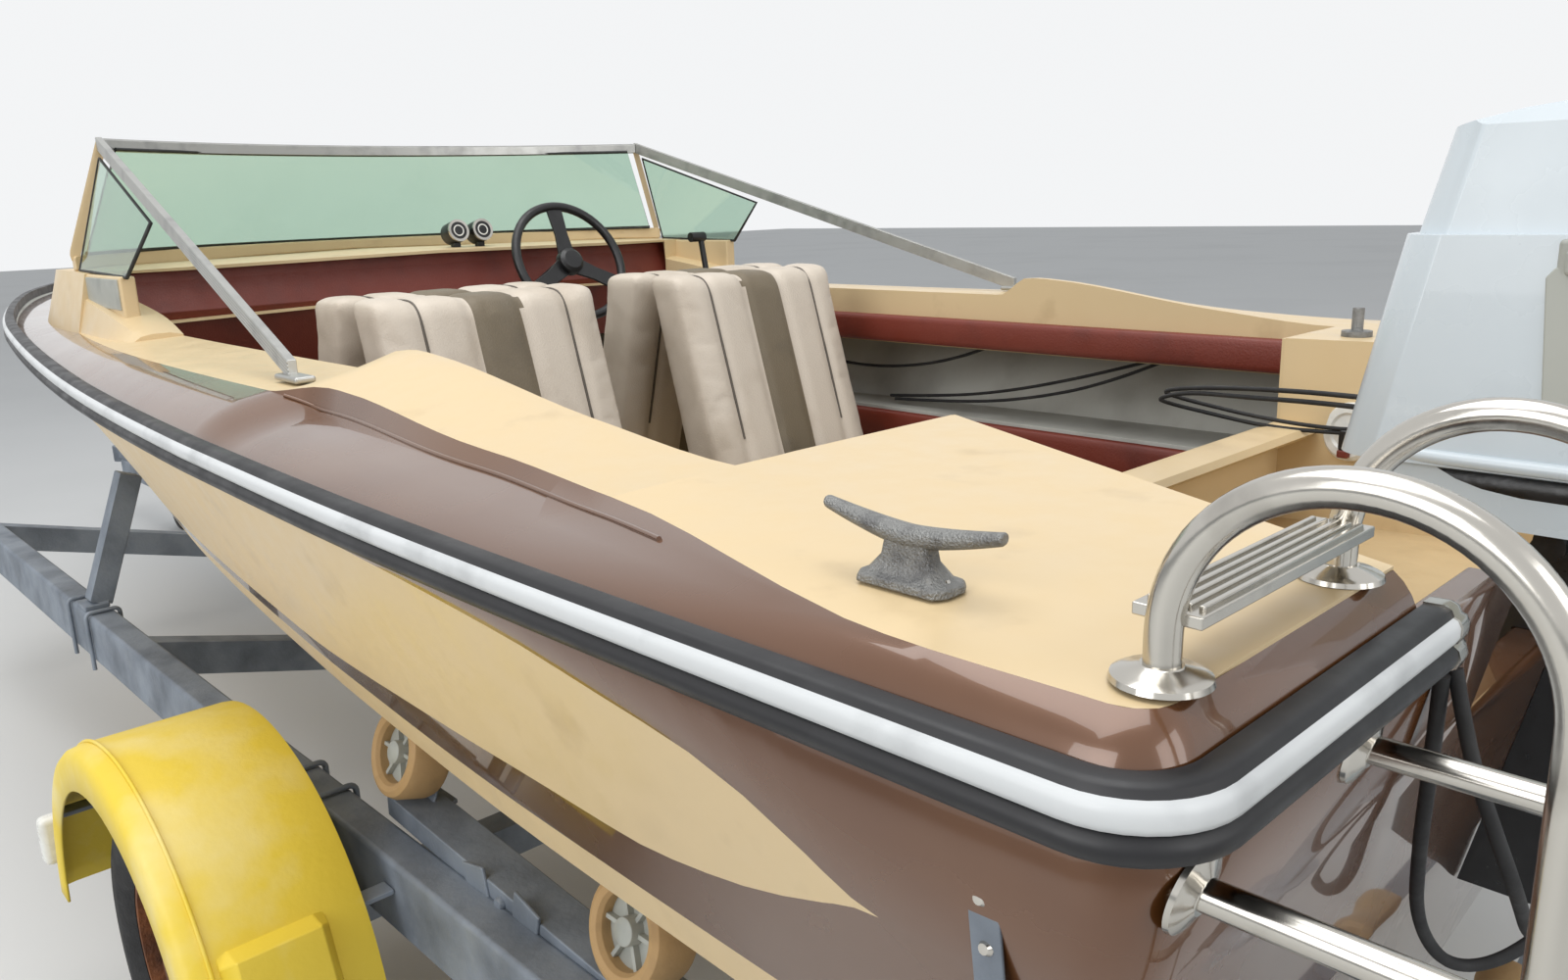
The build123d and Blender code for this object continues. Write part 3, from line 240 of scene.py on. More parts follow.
def rounded_edges(obj, width, segments=3, angle=32):
    rounding = obj.modifiers.new("rounding", "BEVEL")
    rounding.width = width
    rounding.segments = segments
    rounding.limit_method = "ANGLE"
    rounding.angle_limit = radians(angle)
    rounding.harden_normals = True
    return obj


def thick(obj, thickness, offset=-1.0, kinds=0):
    """Gives a skin its wall, which lies inside it unless offset says otherwise."""
    wall = obj.modifiers.new("wall", "SOLIDIFY")
    wall.thickness = thickness
    wall.offset = offset
    wall.use_even_offset = False
    wall.material_offset = kinds
    return obj


def stands_for(piece, node):
    """The piece takes a CAD node's place, which is hidden; the piece itself is not used here."""
    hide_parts(node)


def blocks(name, spans, look, body=BOAT, width=0.004):
    """Blocks given by low and high x, y and z, with rounded edges."""
    skin = Skin()
    for x, y, z in spans:
        plan = ((x[0], y[0]), (x[1], y[0]), (x[1], y[1]), (x[0], y[1]))
        skin.loft([[at(px, py, pz) for px, py in plan] for pz in z])
    return rounded_edges(skin.piece(name, [look], body), width)


def plank(skin, start, end, wide, deep, across):
    """Adds a bar between two points, given its width along a direction and its depth across that."""
    run = (end - start).normalized()
    across = (across - run * across.dot(run)).normalized()
    up = run.cross(across)
    skin.loft([[spot + across * u * wide / 2 + up * v * deep / 2 for u, v in SQUARE] for spot in (start, end)])


def turned(skin, profile, centre, axis, steps=40, kinds=0):
    """Adds a form of revolution, from (radius, reach along the axis)."""
    turn = Vector(axis).normalized().to_track_quat("Z", "Y").to_matrix()
    rows = []
    for step in range(steps + 1):
        angle = 2 * pi * step / steps
        rows.append([centre + turn @ Vector((r * cos(angle), r * sin(angle), h)) for r, h in profile])
    skin.grid(rows, kinds)


def lathe(name, profile, centre, axis, looks, body=BOAT, steps=40, kinds=0):
    skin = Skin()
    turned(skin, profile, centre, axis, steps, kinds)
    return skin.piece(name, looks, body)


def bent(points, radius, steps=7):
    """Straight runs joined by arcs."""
    route = [points[0]]
    for before, corner, after in zip(points, points[1:], points[2:]):
        a, b = (before - corner).normalized(), (after - corner).normalized()
        half = a.angle(b) / 2
        reach = radius / tan(half)
        middle = corner + (a + b).normalized() * radius / sin(half)
        start, end = corner + a * reach - middle, corner + b * reach - middle
        for step in range(steps + 1):
            route.append(middle + start.slerp(end, step / steps).normalized() * radius)
    return route + [points[-1]]


def tube(name, points, radius, look, body=BOAT, smooth=False, sides=4):
    """A round tube or cable along points, smoothed through them if asked."""
    data = bpy.data.curves.new(name, "CURVE")
    data.dimensions = "3D"
    data.bevel_depth = radius
    data.bevel_resolution = sides
    data.use_fill_caps = True
    spline = data.splines.new("NURBS" if smooth else "POLY")
    spline.points.add(len(points) - 1)
    for spot, point in zip(spline.points, points):
        spot.co = (*point, 1)
    if smooth:
        spline.order_u = 3
        spline.use_endpoint_u = True
        spline.resolution_u = 8
    data.materials.append(look)
    obj = placed(name, data)
    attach(obj, body)
    return obj


def swept(name, section, path, across, looks, kinds=0, angle=35):
    """A section of (outward, up) in metres along a path, whose outward directions are given."""
    skin = Skin()
    skin.loft([[spot + out * u + Vector((0, 0, v)) for u, v in section] for spot, out in zip(path, across)], kinds)
    return skin.piece(name, looks, angle=angle)


# Edge rounding of the nodes that keep the part's own form
ROUNDING = {
    0.0012: "propeller", 0.002: "cockpit_floor roller_arms", 0.003: "jockey_clamp jockey_fork helm_column stub_post",
    0.004: "rim_port rim_starboard winch_stand clamp_bracket gauges", 0.005: "bow_posts swivel_bracket gearcase",
    0.006: "side_lockers seat_bases windscreen_base throttle_control coupling axle", 0.007: "cross_members",
    0.009: "trailer_rails drawbar motor_cowl", 0.01: "bow_snubber engine_block", 0.012: "motor_leg",
    0.014: "dashboard jockey_wheel",
}
widths = {name: width for width, names in ROUNDING.items() for name in names.split()}
slots = {part["node"]: part["material_slot"] for part in frame["record"]["subparts"]}
for name, obj in frame["nodes"].items():
    obj.data.materials.clear()
    obj.data.materials.append(FINISHES[slots[name]])
    if name in widths:
        obj.modifiers.new("weld", "WELD").merge_threshold = 0.00002
        rounded_edges(obj, widths[name])

# Lines of hull and deck, faired between the same places as in the part
STEM_X, STATION_STEP = 5090, 55
lines = table("x rail_y rail_z chine_y chine_z keel_z edge_y edge_z coam_y coam_z crown_z", (
    (-60, 1072, -55, 925, -492, -740, 1040, 0, 800, 3, 6),
    (180, 1076, -54, 927, -486, -741, 1048, 0, 800, 3, 6),
    (700, 1086, -52, 931, -468, -742, 962, 0, 800, 3, 6),
    (950, 1088, -50, 932, -457, -742, 932, 8, 800, 24, 30),
    (1420, 1084, -43, 927, -422, -742, 955, 40, 800, 78, 84),
    (1500, 1082, -42, 925, -415, -742, 960, 32, 800, 36, 42),
    (2100, 1052, -32, 900, -352, -738, 950, 30, 800, 35, 44),
    (3100, 950, 5, 752, -215, -708, 850, 34, 720, 44, 60),
    (4000, 738, 34, 500, -85, -606, 640, 48, 500, 62, 74),
    (4700, 402, 48, 232, 0, -392, 330, 66, 250, 74, 82),
    (4960, 205, 52, 108, 22, -215, 160, 72, 120, 78, 83),
    (STEM_X, 60, 60, 30, 36, -60, 45, 74, 30, 78, 82),
))


def fair(rows, x):
    """The row at x, by cubics through the rows that never overshoot them."""
    x = min(max(x, rows[0].x), rows[-1].x)
    after = next(index for index, row in enumerate(rows) if index and row.x >= x)
    low, high = rows[after - 1], rows[after]
    span = high.x - low.x
    share = (x - low.x) / span
    values = []
    for column in range(1, len(low)):
        slopes = [(b[column] - a[column]) / (b.x - a.x) for a, b in zip(rows, rows[1:])]
        ends = []
        for index in (after - 1, after):
            before, beyond = slopes[max(index - 1, 0)], slopes[min(index, len(slopes) - 1)]
            ends.append(2 * before * beyond / (before + beyond) if before * beyond > 0 else 0)
        start = low[column] * (1 + 2 * share) * (1 - share) ** 2 + ends[0] * span * share * (1 - share) ** 2
        values.append(start + high[column] * (3 - 2 * share) * share ** 2
                      - ends[1] * span * (1 - share) * share ** 2)
    return type(low)(x, *values)


def deck_z(x, y):
    """The deck's height between its edge, the coaming's line and the middle."""
    row = fair(lines, x)
    if y > row.coam_y:
        return mixed(row.coam_z, row.edge_z, (y - row.coam_y) / (row.edge_y - row.coam_y))
    return mixed(row.crown_z, row.coam_z, y / row.coam_y)


RAKE = tan(radians(12))
CORNER, CORNER_X, TURN_X = 50, 95, 100
CORNER_TURNS = range(0, 91, 15)
NOSE, NOSE_FULL = 25, 60
NOSE_STEPS = (0, 0.35, 0.65, 0.88)


def transom_x(z):
    return 38 - z * RAKE


def nose(y, z):
    """Points from the stem's middle to the first station."""
    bulge = NOSE * min(1, y / NOSE_FULL)
    return [at(STEM_X + bulge * (1 - t * t), y * t, z) for t in NOSE_STEPS]


def stern_corner(degrees, radius, y):
    """Plan point on the round of a stern corner, from the side at 0 degrees to the stern at 90."""
    out, ahead = polar(radius, degrees)
    return CORNER_X - ahead, y - radius + out


# Share of the side's height, from the gunwale corner to the chine, at the cream flash's edges
flash_top = table("x share", (
    (0, 0.436), (296, 0.436), (396, 0.31), (458, 0.245), (600, 0.185),
    (710, 0.145), (950, 0.105), (1200, 0.085), (1500, 0.04), (STEM_X, 0.04)))
flash_low = table("x share", (
    (0, 0.436), (296, 0.436), (400, 0.524), (510, 0.607), (660, 0.668),
    (815, 0.674), (1070, 0.707), (1480, 0.78), (2000, 0.78), (STEM_X, 0.78)))
BAND_LOW = 0.867
NOTCH_HALF, NOTCH_Z = 420, -225
side_xs = sorted({STEM_X - STATION_STEP * step for step in range(87)} | {346, 321, 296, 250, 215}, reverse=True)


def side_row(share_of, to_keel=False):
    """The hull's points from the stem to the transom's middle, at a share of the side's height."""
    def spot(x):
        row, share = fair(lines, x), share_of(x)
        return row, mixed(row.rail_y, row.chine_y, share), mixed(row.rail_z, row.chine_z, share)

    points = nose(*spot(STEM_X)[1:])
    points += [at(x, *spot(x)[1:]) for x in side_xs]
    row, y, z = spot(TURN_X)
    corner = [polar(CORNER, degrees) for degrees in CORNER_TURNS]
    corner = [(CORNER - ahead, y - CORNER + out) for out, ahead in corner]
    for ahead, out in corner + [(0, each) for each in (800, 600, NOTCH_HALF + 1, NOTCH_HALF - 1, 210, 0)]:
        height = z
        if to_keel:
            height = mixed(row.keel_z, row.chine_z, out / row.chine_y)
        elif out < NOTCH_HALF:
            height = min(z, NOTCH_Z)
        points.append(at(transom_x(height) + ahead, out, height))
    return points


hull_skin = Skin()
rows = [side_row(lambda x: 0.0), side_row(lambda x: fair(flash_top, x).share),
        side_row(lambda x: fair(flash_low, x).share), side_row(lambda x: BAND_LOW), side_row(lambda x: 1.0, True)]
columns = [list(column) for column in zip(*rows)]
chine_row = rows[-1]
arc_start = len(NOSE_STEPS) + len(side_xs)
arc_end = arc_start + len(CORNER_TURNS)
hull_skin.grid(columns[:arc_end], [0, 1, 0, 1])
hull_skin.grid(columns[arc_end - 1:])
bottom_rows = []
for share in (0, 0.2, 0.4, 0.6, 0.8, 1):
    row = fair(lines, STEM_X)
    points = nose(row.chine_y * (1 - share), mixed(row.chine_z, row.keel_z, share))
    for x in side_xs:
        row = fair(lines, x)
        points.append(at(x, row.chine_y * (1 - share), mixed(row.chine_z, row.keel_z, share)))
    if share:
        row = fair(lines, TURN_X)
        z = mixed(row.chine_z, row.keel_z, share)
        points.append(at(transom_x(z), row.chine_y * (1 - share), z))
    else:
        points.append(chine_row[arc_start])
    bottom_rows.append(points)
hull_skin.grid(bottom_rows, 1)
hull_skin.face([*chine_row[arc_start:arc_end], bottom_rows[1][-1]], 1)
hull_skin.mirrored()
hull_piece = thick(hull_skin.piece("hull_moulding", [brown, cream, liner, liner], angle=25), 0.009, kinds=2)
stands_for(hull_piece, "hull")

CORE_HALF, CORE_LOW, CORE_TOP = 745, -560, -70
core = Skin()
for y_low, y_high, top in ((-NOTCH_HALF, NOTCH_HALF, NOTCH_Z), (NOTCH_HALF, CORE_HALF, CORE_TOP),
                           (-CORE_HALF, -NOTCH_HALF, CORE_TOP)):
    core.loft([[at(transom_x(z) + ahead, y, z) for ahead, y in ((6, y_low), (45, y_low), (45, y_high), (6, y_high))]
               for z in (CORE_LOW, top)])
rounded_edges(core.piece("transom_core", [brown]), 0.004)

# Deck moulding: brown shoulders, cream side decks and foredeck, and the motor well
DECK_END, EDGE_AFT, EDGE_CORNER = 69, 1042, 26
COCKPIT_AFT, COCKPIT_FRONT, COCKPIT_HALF = 700, 2790, 780
LIP_Y, LIP_LOW = 800, -100
WELL_AFT, WELL_FLOOR = 140, -335
WELL_LINES = {1: ((DECK_END, 700), (220, 630), (COCKPIT_AFT, 410)),
              -1: ((DECK_END, 700), (220, 630), (COCKPIT_AFT, 550))}
FORE_SHARES = (1, 0.85, 0.7, 0.5, 0.3, 0.15, 0)
BAND_STEPS = (0, 0.12, 0.26, 0.42, 0.6, 0.8, 1)
# Step between the brown shoulder and the cream deck: its lower and upper edge against the deck's edge line
creases = table("x low_out low_up high_out high_up", (
    (300, 0, 0, 0, 0), (650, 1, -10, -19, 1), (1000, 12, -16, -4, 2),
    (1400, -26, -31, -36, 0), (1440, -18, -20, -26, 0), (1480, -4, -5, -6, 0),
    (1505, 0, 0, 0, 0)))


def well_y(side, x):
    line = WELL_LINES[side]
    for (x0, y0), (x1, y1) in zip(line, line[1:]):
        if x <= x1:
            return mixed(y0, y1, (x - x0) / (x1 - x0))


def edge_y(x):
    """The deck's edge, drawn in towards the stern and round its corner."""
    if x < CORNER_X:
        return EDGE_AFT - EDGE_CORNER + sqrt(max(0, EDGE_CORNER ** 2 - (CORNER_X - x) ** 2))
    row = fair(lines, x)
    return min(row.edge_y, mixed(EDGE_AFT, row.edge_y, min(1, (x - CORNER_X) / 200)))


def crease_foot(side, x, lift=0):
    """The step's lower edge, where the shoulder ends."""
    off = fair(creases, x)
    return at(x, side * (edge_y(x) + off.low_out + lift), fair(lines, x).edge_z + off.low_up + lift)


def band(outer, inner):
    """The gunwale's shoulder: steep over the rail, then flatter up to the deck's edge."""
    shoulder = Vector((mixed(outer.x, inner.x, 0.1), mixed(outer.y, inner.y, 0.1), mixed(outer.z, inner.z, 0.72)))
    return [outer * (1 - s) ** 2 + shoulder * 2 * s * (1 - s) + inner * s * s for s in BAND_STEPS]


def side_columns(x):
    """The side deck from the step to the cockpit's lip, and down inside it."""
    off, row = fair(creases, x), fair(lines, x)
    edge, height = edge_y(x) + off.high_out, row.edge_z + off.high_up
    points = [crease_foot(1, x)]
    points += [at(x, mixed(edge, LIP_Y, share), mixed(height, row.coam_z, share)) for share in (0, 0.35, 0.7, 1)]
    return points + [at(x, COCKPIT_HALF, deck_z(x, COCKPIT_HALF)), at(x, COCKPIT_HALF, LIP_LOW)]


def aft_columns(side, x):
    """The aft deck from the step to the motor well, and down its wall or over the stern's edge."""
    off, inner = fair(creases, x), well_y(side, x)
    edge = edge_y(x) + off.high_out
    points = [crease_foot(side, x)]
    points += [at(x, side * mixed(edge, inner, share), off.high_up + 3 * min(1, 4 * share))
               for share in (0, 0.25, 0.5, 0.75, 1)]
    return points + [at(x, side * inner, WELL_FLOOR if x > WELL_AFT else -66)]


deck_skin = Skin()
aft_xs = [COCKPIT_AFT, 620, 540, 460, 380, 300, 260, 220, 180, WELL_AFT, 115]
fore_xs = [x for x in side_xs if x > COCKPIT_FRONT] + [COCKPIT_FRONT]
mid_xs = [COCKPIT_FRONT] + [x for x in side_xs if 1560 < x < COCKPIT_FRONT]
mid_xs += [1540, 1520, 1505, 1490, 1470, 1450, 1430, 1400, 1370]
mid_xs += [x for x in side_xs if COCKPIT_AFT < x < 1350] + [COCKPIT_AFT]
tip, stern_row = fair(lines, STEM_X), fair(lines, CORNER_X)
band_rows = [band(a, b) for a, b in zip(nose(tip.rail_y, tip.rail_z), nose(tip.edge_y, tip.edge_z))]
for x in fore_xs + mid_xs[1:] + aft_xs[1:] + [CORNER_X]:
    row = fair(lines, x)
    band_rows.append(band(at(x, row.rail_y, row.rail_z), crease_foot(1, x)))
for angle in CORNER_TURNS[1:]:
    band_rows.append(band(at(*stern_corner(angle, CORNER, stern_row.rail_y), stern_row.rail_z),
                          at(*stern_corner(angle, EDGE_CORNER, EDGE_AFT), 0)))
for y in (980, 900, 800, 700):
    band_rows.append(band(at(CORNER_X - CORNER, y, stern_row.rail_z), at(DECK_END, y, 0)))
deck_skin.grid(band_rows)
deck_skin.grid([side_columns(x) for x in mid_xs], [0, 1, 1, 1, 1, 1])
fore_rows = [[at(STEM_X + NOSE * tip.edge_y / NOSE_FULL * (1 - t * t), tip.edge_y * t * share,
                 mixed(tip.crown_z, tip.edge_z, share)) for share in FORE_SHARES] for t in NOSE_STEPS]
for x in fore_xs:
    edge = fair(lines, x).edge_y
    fore_rows.append([at(x, edge * share, deck_z(x, edge * share)) for share in FORE_SHARES])
deck_skin.grid(fore_rows, 1)
deck_skin.mirrored()
for side, _ in SIDES:
    deck_skin.grid([aft_columns(side, x) for x in aft_xs + [CORNER_X, 82, 73, DECK_END]], [0, 1, 1, 1, 1, 1])
    deck_skin.grid([[at(COCKPIT_AFT, side * y, z) for z in (3, -168)]
                    for y in (COCKPIT_HALF, 690, 600, well_y(side, COCKPIT_AFT))], 1)
deck_skin.face([at(x, y, WELL_FLOOR) for x, y in
                ((140, 665), (220, 630), (COCKPIT_AFT, 410), (COCKPIT_AFT, -550), (220, -630), (140, -665))], 1)

# Raised foredeck, with a low boss each side beside the windscreen
TRUNK_FORE, BOSS_AFT = 4850, 2440
SECTION = "x foot_y foot_z top_y top_z crown_z"
trunk_sections = table(SECTION, (
    (2430, 905, 10, 868, 148, 156), (3000, 890, 10, 855, 165, 174), (3600, 770, 10, 690, 134, 160),
    (4300, 500, 20, 400, 95, 122), (TRUNK_FORE, 150, 40, 120, 70, 78)))
boss_sections = table(SECTION, (
    (BOSS_AFT, 905, 14, 862, 42, 46), (2500, 905, 12, 872, 60, 66), (2560, 903, 10, 876, 74, 80),
    (COCKPIT_FRONT, 896, 10, 868, 104, 110)))


def trunk_columns(x, inner):
    row = fair(trunk_sections, x)
    ys = [mixed(row.top_y, inner, share) for share in (0, 0.3, 0.6, 1)]
    return [at(x, row.foot_y, row.foot_z)] + [at(x, y, mixed(row.crown_z, row.top_z, y / row.top_y)) for y in ys]


def boss_columns(x):
    row = fair(boss_sections, x)
    return [at(x, row.foot_y, row.foot_z), at(x, row.top_y, row.top_z), at(x, 840, row.crown_z),
            at(x, 805, row.crown_z), at(x, COCKPIT_HALF, row.crown_z - 6)]


def dropped(point, z):
    return Vector((point.x, point.y, z))


trunk = Skin()
trunk.grid([trunk_columns(x, 0) for x in [*range(TRUNK_FORE, COCKPIT_FRONT, -STATION_STEP), COCKPIT_FRONT]])
boss = [boss_columns(x) for x in (COCKPIT_FRONT, 2740, 2680, 2620, 2560, 2530, 2500, 2470, BOSS_AFT)]
trunk.grid(boss)
trunk.face([*trunk_columns(COCKPIT_FRONT, COCKPIT_HALF), *reversed(boss[0])])
trunk.grid([[row[-1], dropped(row[-1], at(0, 0, LIP_LOW).z)] for row in boss])
trunk.face([*boss[-1], dropped(boss[-1][-1], boss[-1][0].z)])
trunk.mirrored()
trunk_piece = rounded_edges(thick(trunk.piece("foredeck_trunk", [cream], angle=30), 0.008), 0.012)
deck_piece = rounded_edges(thick(deck_skin.piece("deck_moulding", [brown, cream], angle=30), 0.006), 0.009)
stands_for(deck_piece, "deck")
for side, word in SIDES:
    bead = [crease_foot(side, x, 1) for x in range(570, 1500, 30)]
    tube(f"crease_bead_{word}", bead, 0.0028, brown, smooth=True, sides=2)

dam_section = [(700, -335), (700, -190), (690, -180), (645, -172), (633, -162), (640, -151), (690, -146),
               (706, -149), (711, -160), (711, -335)]
dam = Skin()
dam.grid([[at(x, y, z) for x, z in dam_section] for y in (-556, -400, -240, -80, 80, 240, 416)], around=True)
dam.piece("well_dam", [cream], angle=40)

# Rub rail round the sides, the stem and the stern corners, to an end cap on the transom
RAIL_LIFT, RAIL_END = 7, 680
rail_z = stern_row.rail_z + RAIL_LIFT
rail_path = [at(STEM_X + NOSE * (1 - t * t), tip.rail_y * t, tip.rail_z + RAIL_LIFT) for t in NOSE_STEPS]
for x in [x for x in side_xs if x > 150] + [120, CORNER_X]:
    row = fair(lines, x)
    rail_path.append(at(x, row.rail_y, row.rail_z + RAIL_LIFT))
rail_path += [at(*stern_corner(angle, CORNER, stern_row.rail_y), rail_z) for angle in range(10, 91, 10)]
rail_path += [at(CORNER_X - CORNER, y, rail_z) for y in (1000, 900, 800, RAIL_END)]
full_path = [Vector((p.x, -p.y, p.z)) for p in reversed(rail_path[1:])] + rail_path
rail_out = []
for before, after in zip([full_path[0]] + full_path, full_path[1:] + [full_path[-1]]):
    run = (after - before).normalized()
    rail_out.append(Vector((run.y, -run.x, 0)).normalized())
rail_section = [(-0.004, 0.024), (0.009, 0.0245), (0.0145, 0.022), (0.0165, 0.0175), (0.020, 0.016),
                (0.0225, 0.011), (0.0225, 0.004), (0.020, -0.001), (0.0168, -0.0025), (0.0215, -0.006),
                (0.0235, -0.012), (0.021, -0.019), (0.014, -0.0235), (-0.004, -0.024)]
rail_kinds = [0] * 3 + [1] * 5 + [0] * 6
stands_for(swept("rub_rail_strip", rail_section, full_path, rail_out, [rubber, rail_white], rail_kinds, 50),
           "rub_rail")
for side, word in SIDES:
    cap_rows = []
    for angle in CORNER_TURNS:
        scale, reach = polar(1, angle)
        cap_rows.append([at(CORNER_X - CORNER, side * RAIL_END, rail_z)
                         + Vector((-max(u * scale, -0.004), -side * reach * 0.022, v * scale)) * 1.06
                         for u, v in rail_section])
    ahead = [p + Vector((0, side * 0.012, 0)) for p in cap_rows[0]]
    cap = Skin()
    cap.grid([ahead] + cap_rows, around=True)
    cap.face(ahead[::-1])
    cap.piece(f"rail_end_{word}", [steel], angle=50)

# Windscreen: a curved front, two side panes, the top rail, seals, posts, struts and plinths
SCREEN_FOOT, SCREEN_HEAD = (2910, 816, 199), (2890, 730, 436)
FOOT_BOW, HEAD_BOW = 3330, 3110
PANE_CORNERS = [(2530, 846, 158), (2880, 846, 166), (2868, 772, 412), (2400, 822, 268)]


def arc(corner_x, corner_y, bow_x, steps=48):
    """Plan points and turns of the arc from the starboard corner round the bow to the port corner."""
    rise = bow_x - corner_x
    radius = (corner_y ** 2 + rise ** 2) / (2 * rise)
    half = atan2(corner_y, radius - rise)
    turns = [half * (2 * step / steps - 1) for step in range(steps + 1)]
    return [(bow_x - radius * (1 - cos(turn)), radius * sin(turn), turn) for turn in turns]


foot_arc, head_arc = arc(*SCREEN_FOOT[:2], FOOT_BOW), arc(*SCREEN_HEAD[:2], HEAD_BOW)
panes = Skin()
panes.grid([[at(mixed(a[0], b[0], s), mixed(a[1], b[1], s), mixed(SCREEN_FOOT[2], SCREEN_HEAD[2], s))
             for s in (0, 0.25, 0.5, 0.75, 1)] for a, b in zip(foot_arc, head_arc)])
for side, _ in SIDES:
    corners = [at(x, side * y, z) for x, y, z in PANE_CORNERS]
    panes.face(corners if side > 0 else corners[::-1])
pane_piece = thick(panes.piece("screen_panes", [glass]), 0.005, 0)
pane_piece.modifiers.new("rims", "EDGE_SPLIT").split_angle = radians(30)
stands_for(pane_piece, "windscreen_glass")

top_section = [(-0.011, -0.004), (-0.011, 0.018), (-0.006, 0.022), (0.004, 0.021), (0.011, 0.015), (0.012, 0.006),
               (0.009, 0.003), (0.011, 0), (0.009, -0.006)]
top_arc = arc(SCREEN_HEAD[0], 760, HEAD_BOW)
stands_for(swept("screen_top_rail", top_section, [at(x, y, SCREEN_HEAD[2]) for x, y, _ in top_arc],
                 [Vector((cos(turn), sin(turn), 0)) for _, _, turn in top_arc], [alloy], angle=50),
           "windscreen_frame")
for name, line, z, radius in (("low", foot_arc, 201, 0.005), ("high", head_arc, 434, 0.004)):
    tube(f"screen_seal_{name}", [at(x, y, z) for x, y, _ in line], radius, seal)
ribs = [(0.006 + 0.002 * (k % 2), 0.003 * (k - 5)) for k in range(11)]
strut_section = [(-0.007, -0.015), *ribs, (-0.007, 0.015)]
post_section = [(-0.008, -0.012), (0.008, -0.012), (0.01, 0), (0.008, 0.012), (-0.008, 0.012)]
for side, word in SIDES:
    strut = swept(f"strut_{word}", strut_section, [at(1545, side * 908, 52), at(2890, side * 762, 446)],
                  [Vector((0.1, side, 0)).normalized()] * 2, [alloy])
    rounded_edges(strut, 0.001, 1)
    post = swept(f"screen_post_{word}", post_section, [at(2912, side * 846, 196), at(2890, side * 760, 442)],
                 [Vector((0, side, 0.3)).normalized()] * 2, [cream])
    rounded_edges(post, 0.002, 2)
    blocks(f"strut_foot_{word}", [((1500, 1580), spread(side, 892, 924), (36, 46))], alloy)
    corners = [at(x, side * y, z) for x, y, z in PANE_CORNERS]
    tube(f"pane_seal_{word}", corners + corners[:1], 0.004, seal)
    blocks(f"screen_plinth_{word}", [((2545, 2905), spread(side, 826, 858), (70, 160))], cream, width=0.005)
    blocks(f"plinth_strip_{word}", [((2556, 2900), spread(side, 857, 861), (90, 154))], panel_grey, width=0.0015)

# Steering wheel and gauges
HELM_TILT = radians(25)
GRIP, GRIP_AT, GRIP_STEPS, GRIP_SIDES = 0.0125, 0.165, 60, 12
SPOKE_HALF = 0.004
GAUGE_AXIS = Vector((-1, 0, 0.25))
hub = at(2620, -310, 125)
helm_axis = Vector((cos(HELM_TILT), 0, -sin(HELM_TILT)))
turn = Matrix((Vector((0, 1, 0)), helm_axis.cross(Vector((0, 1, 0))), helm_axis)).transposed()
wheel = Skin()
rings = []
rounds = [(GRIP_AT + GRIP * cos(b), GRIP * sin(b)) for b in [2 * pi * n / GRIP_SIDES for n in range(GRIP_SIDES)]]
for k in range(GRIP_STEPS + 1):
    a = 2 * pi * k / GRIP_STEPS
    rings.append([hub + turn @ Vector((r * cos(a), r * sin(a), h)) for r, h in rounds])
wheel.grid(rings, around=True)
for angle in (pi / 2, pi * 7 / 6, pi * 11 / 6):
    out, across = Vector((cos(angle), sin(angle), 0)), Vector((-sin(angle), cos(angle), 0))
    wheel.grid([[hub + turn @ (out * reach + across * half * u + Vector((0, 0, lift + SPOKE_HALF * v)))
                 for u, v in SQUARE]
                for reach, half, lift in ((0.02, 0.026, 0.008), (0.08, 0.02, 0.003), (0.158, 0.024, 0))], around=True)
turned(wheel, [(0, -0.02), (0.026, -0.018), (0.036, -0.01), (0.038, 0.014), (0.03, 0.018)], hub, helm_axis)
stands_for(rounded_edges(wheel.piece("wheel_grip_and_spokes", [black], "steering_wheel"), 0.0015, 2),
           "steering_wheel")
for index, y in enumerate((-110, -186), 1):
    face = at(2890, y, 212) + GAUGE_AXIS.normalized() * 0.0252
    lathe(f"gauge_ring_{index}", [(0.024, -0.002), (0.024, 0.001), (0.031, 0.0015), (0.0315, -0.004)], face,
          GAUGE_AXIS, [steel])
    lathe(f"gauge_face_{index}", [(0, 0), (0.012, 0), (0.0125, 0.0004), (0.016, 0.0004), (0.0165, 0), (0.025, 0)],
          face, GAUGE_AXIS, [black, lamp_white], kinds=[0, 0, 1, 0, 0])

# Seats: each pad is drawn, inflated as cloth and sewn
SEAT_WIDTH, SEAT_Y = 526, 360
SEAMS = (0.19, 0.39, 0.61, 0.81)
SEAM_DEPTH, SEAM_REACH = 0.009, 0.011
SWELL_LIMIT, CELL, CLOTH_FRAMES = 0.012, 0.012, 20
PIPING_STEPS = 72
SEAT_PADS = (
    ("seat_back_aft", [(1752, -395), (1884, -395), (2022, 122), (1908, 122)], "seat_backs"),
    ("seat_back_fore", [(2190, -395), (2316, -395), (2176, 122), (2046, 122)], "seat_backs"),
    ("seat_cushion_aft", [(1298, -396), (1732, -396), (1732, -298), (1298, -298)], "seat_cushions"),
    ("seat_cushion_fore", [(2336, -396), (2694, -396), (2694, -298), (2336, -298)], "seat_cushions"),
)


def applied(obj):
    """Gives the object its mesh as its modifiers leave it."""
    bpy.context.view_layer.update()
    mesh = bpy.data.meshes.new_from_object(obj.evaluated_get(bpy.context.evaluated_depsgraph_get()))
    obj.modifiers.clear()
    obj.data = mesh


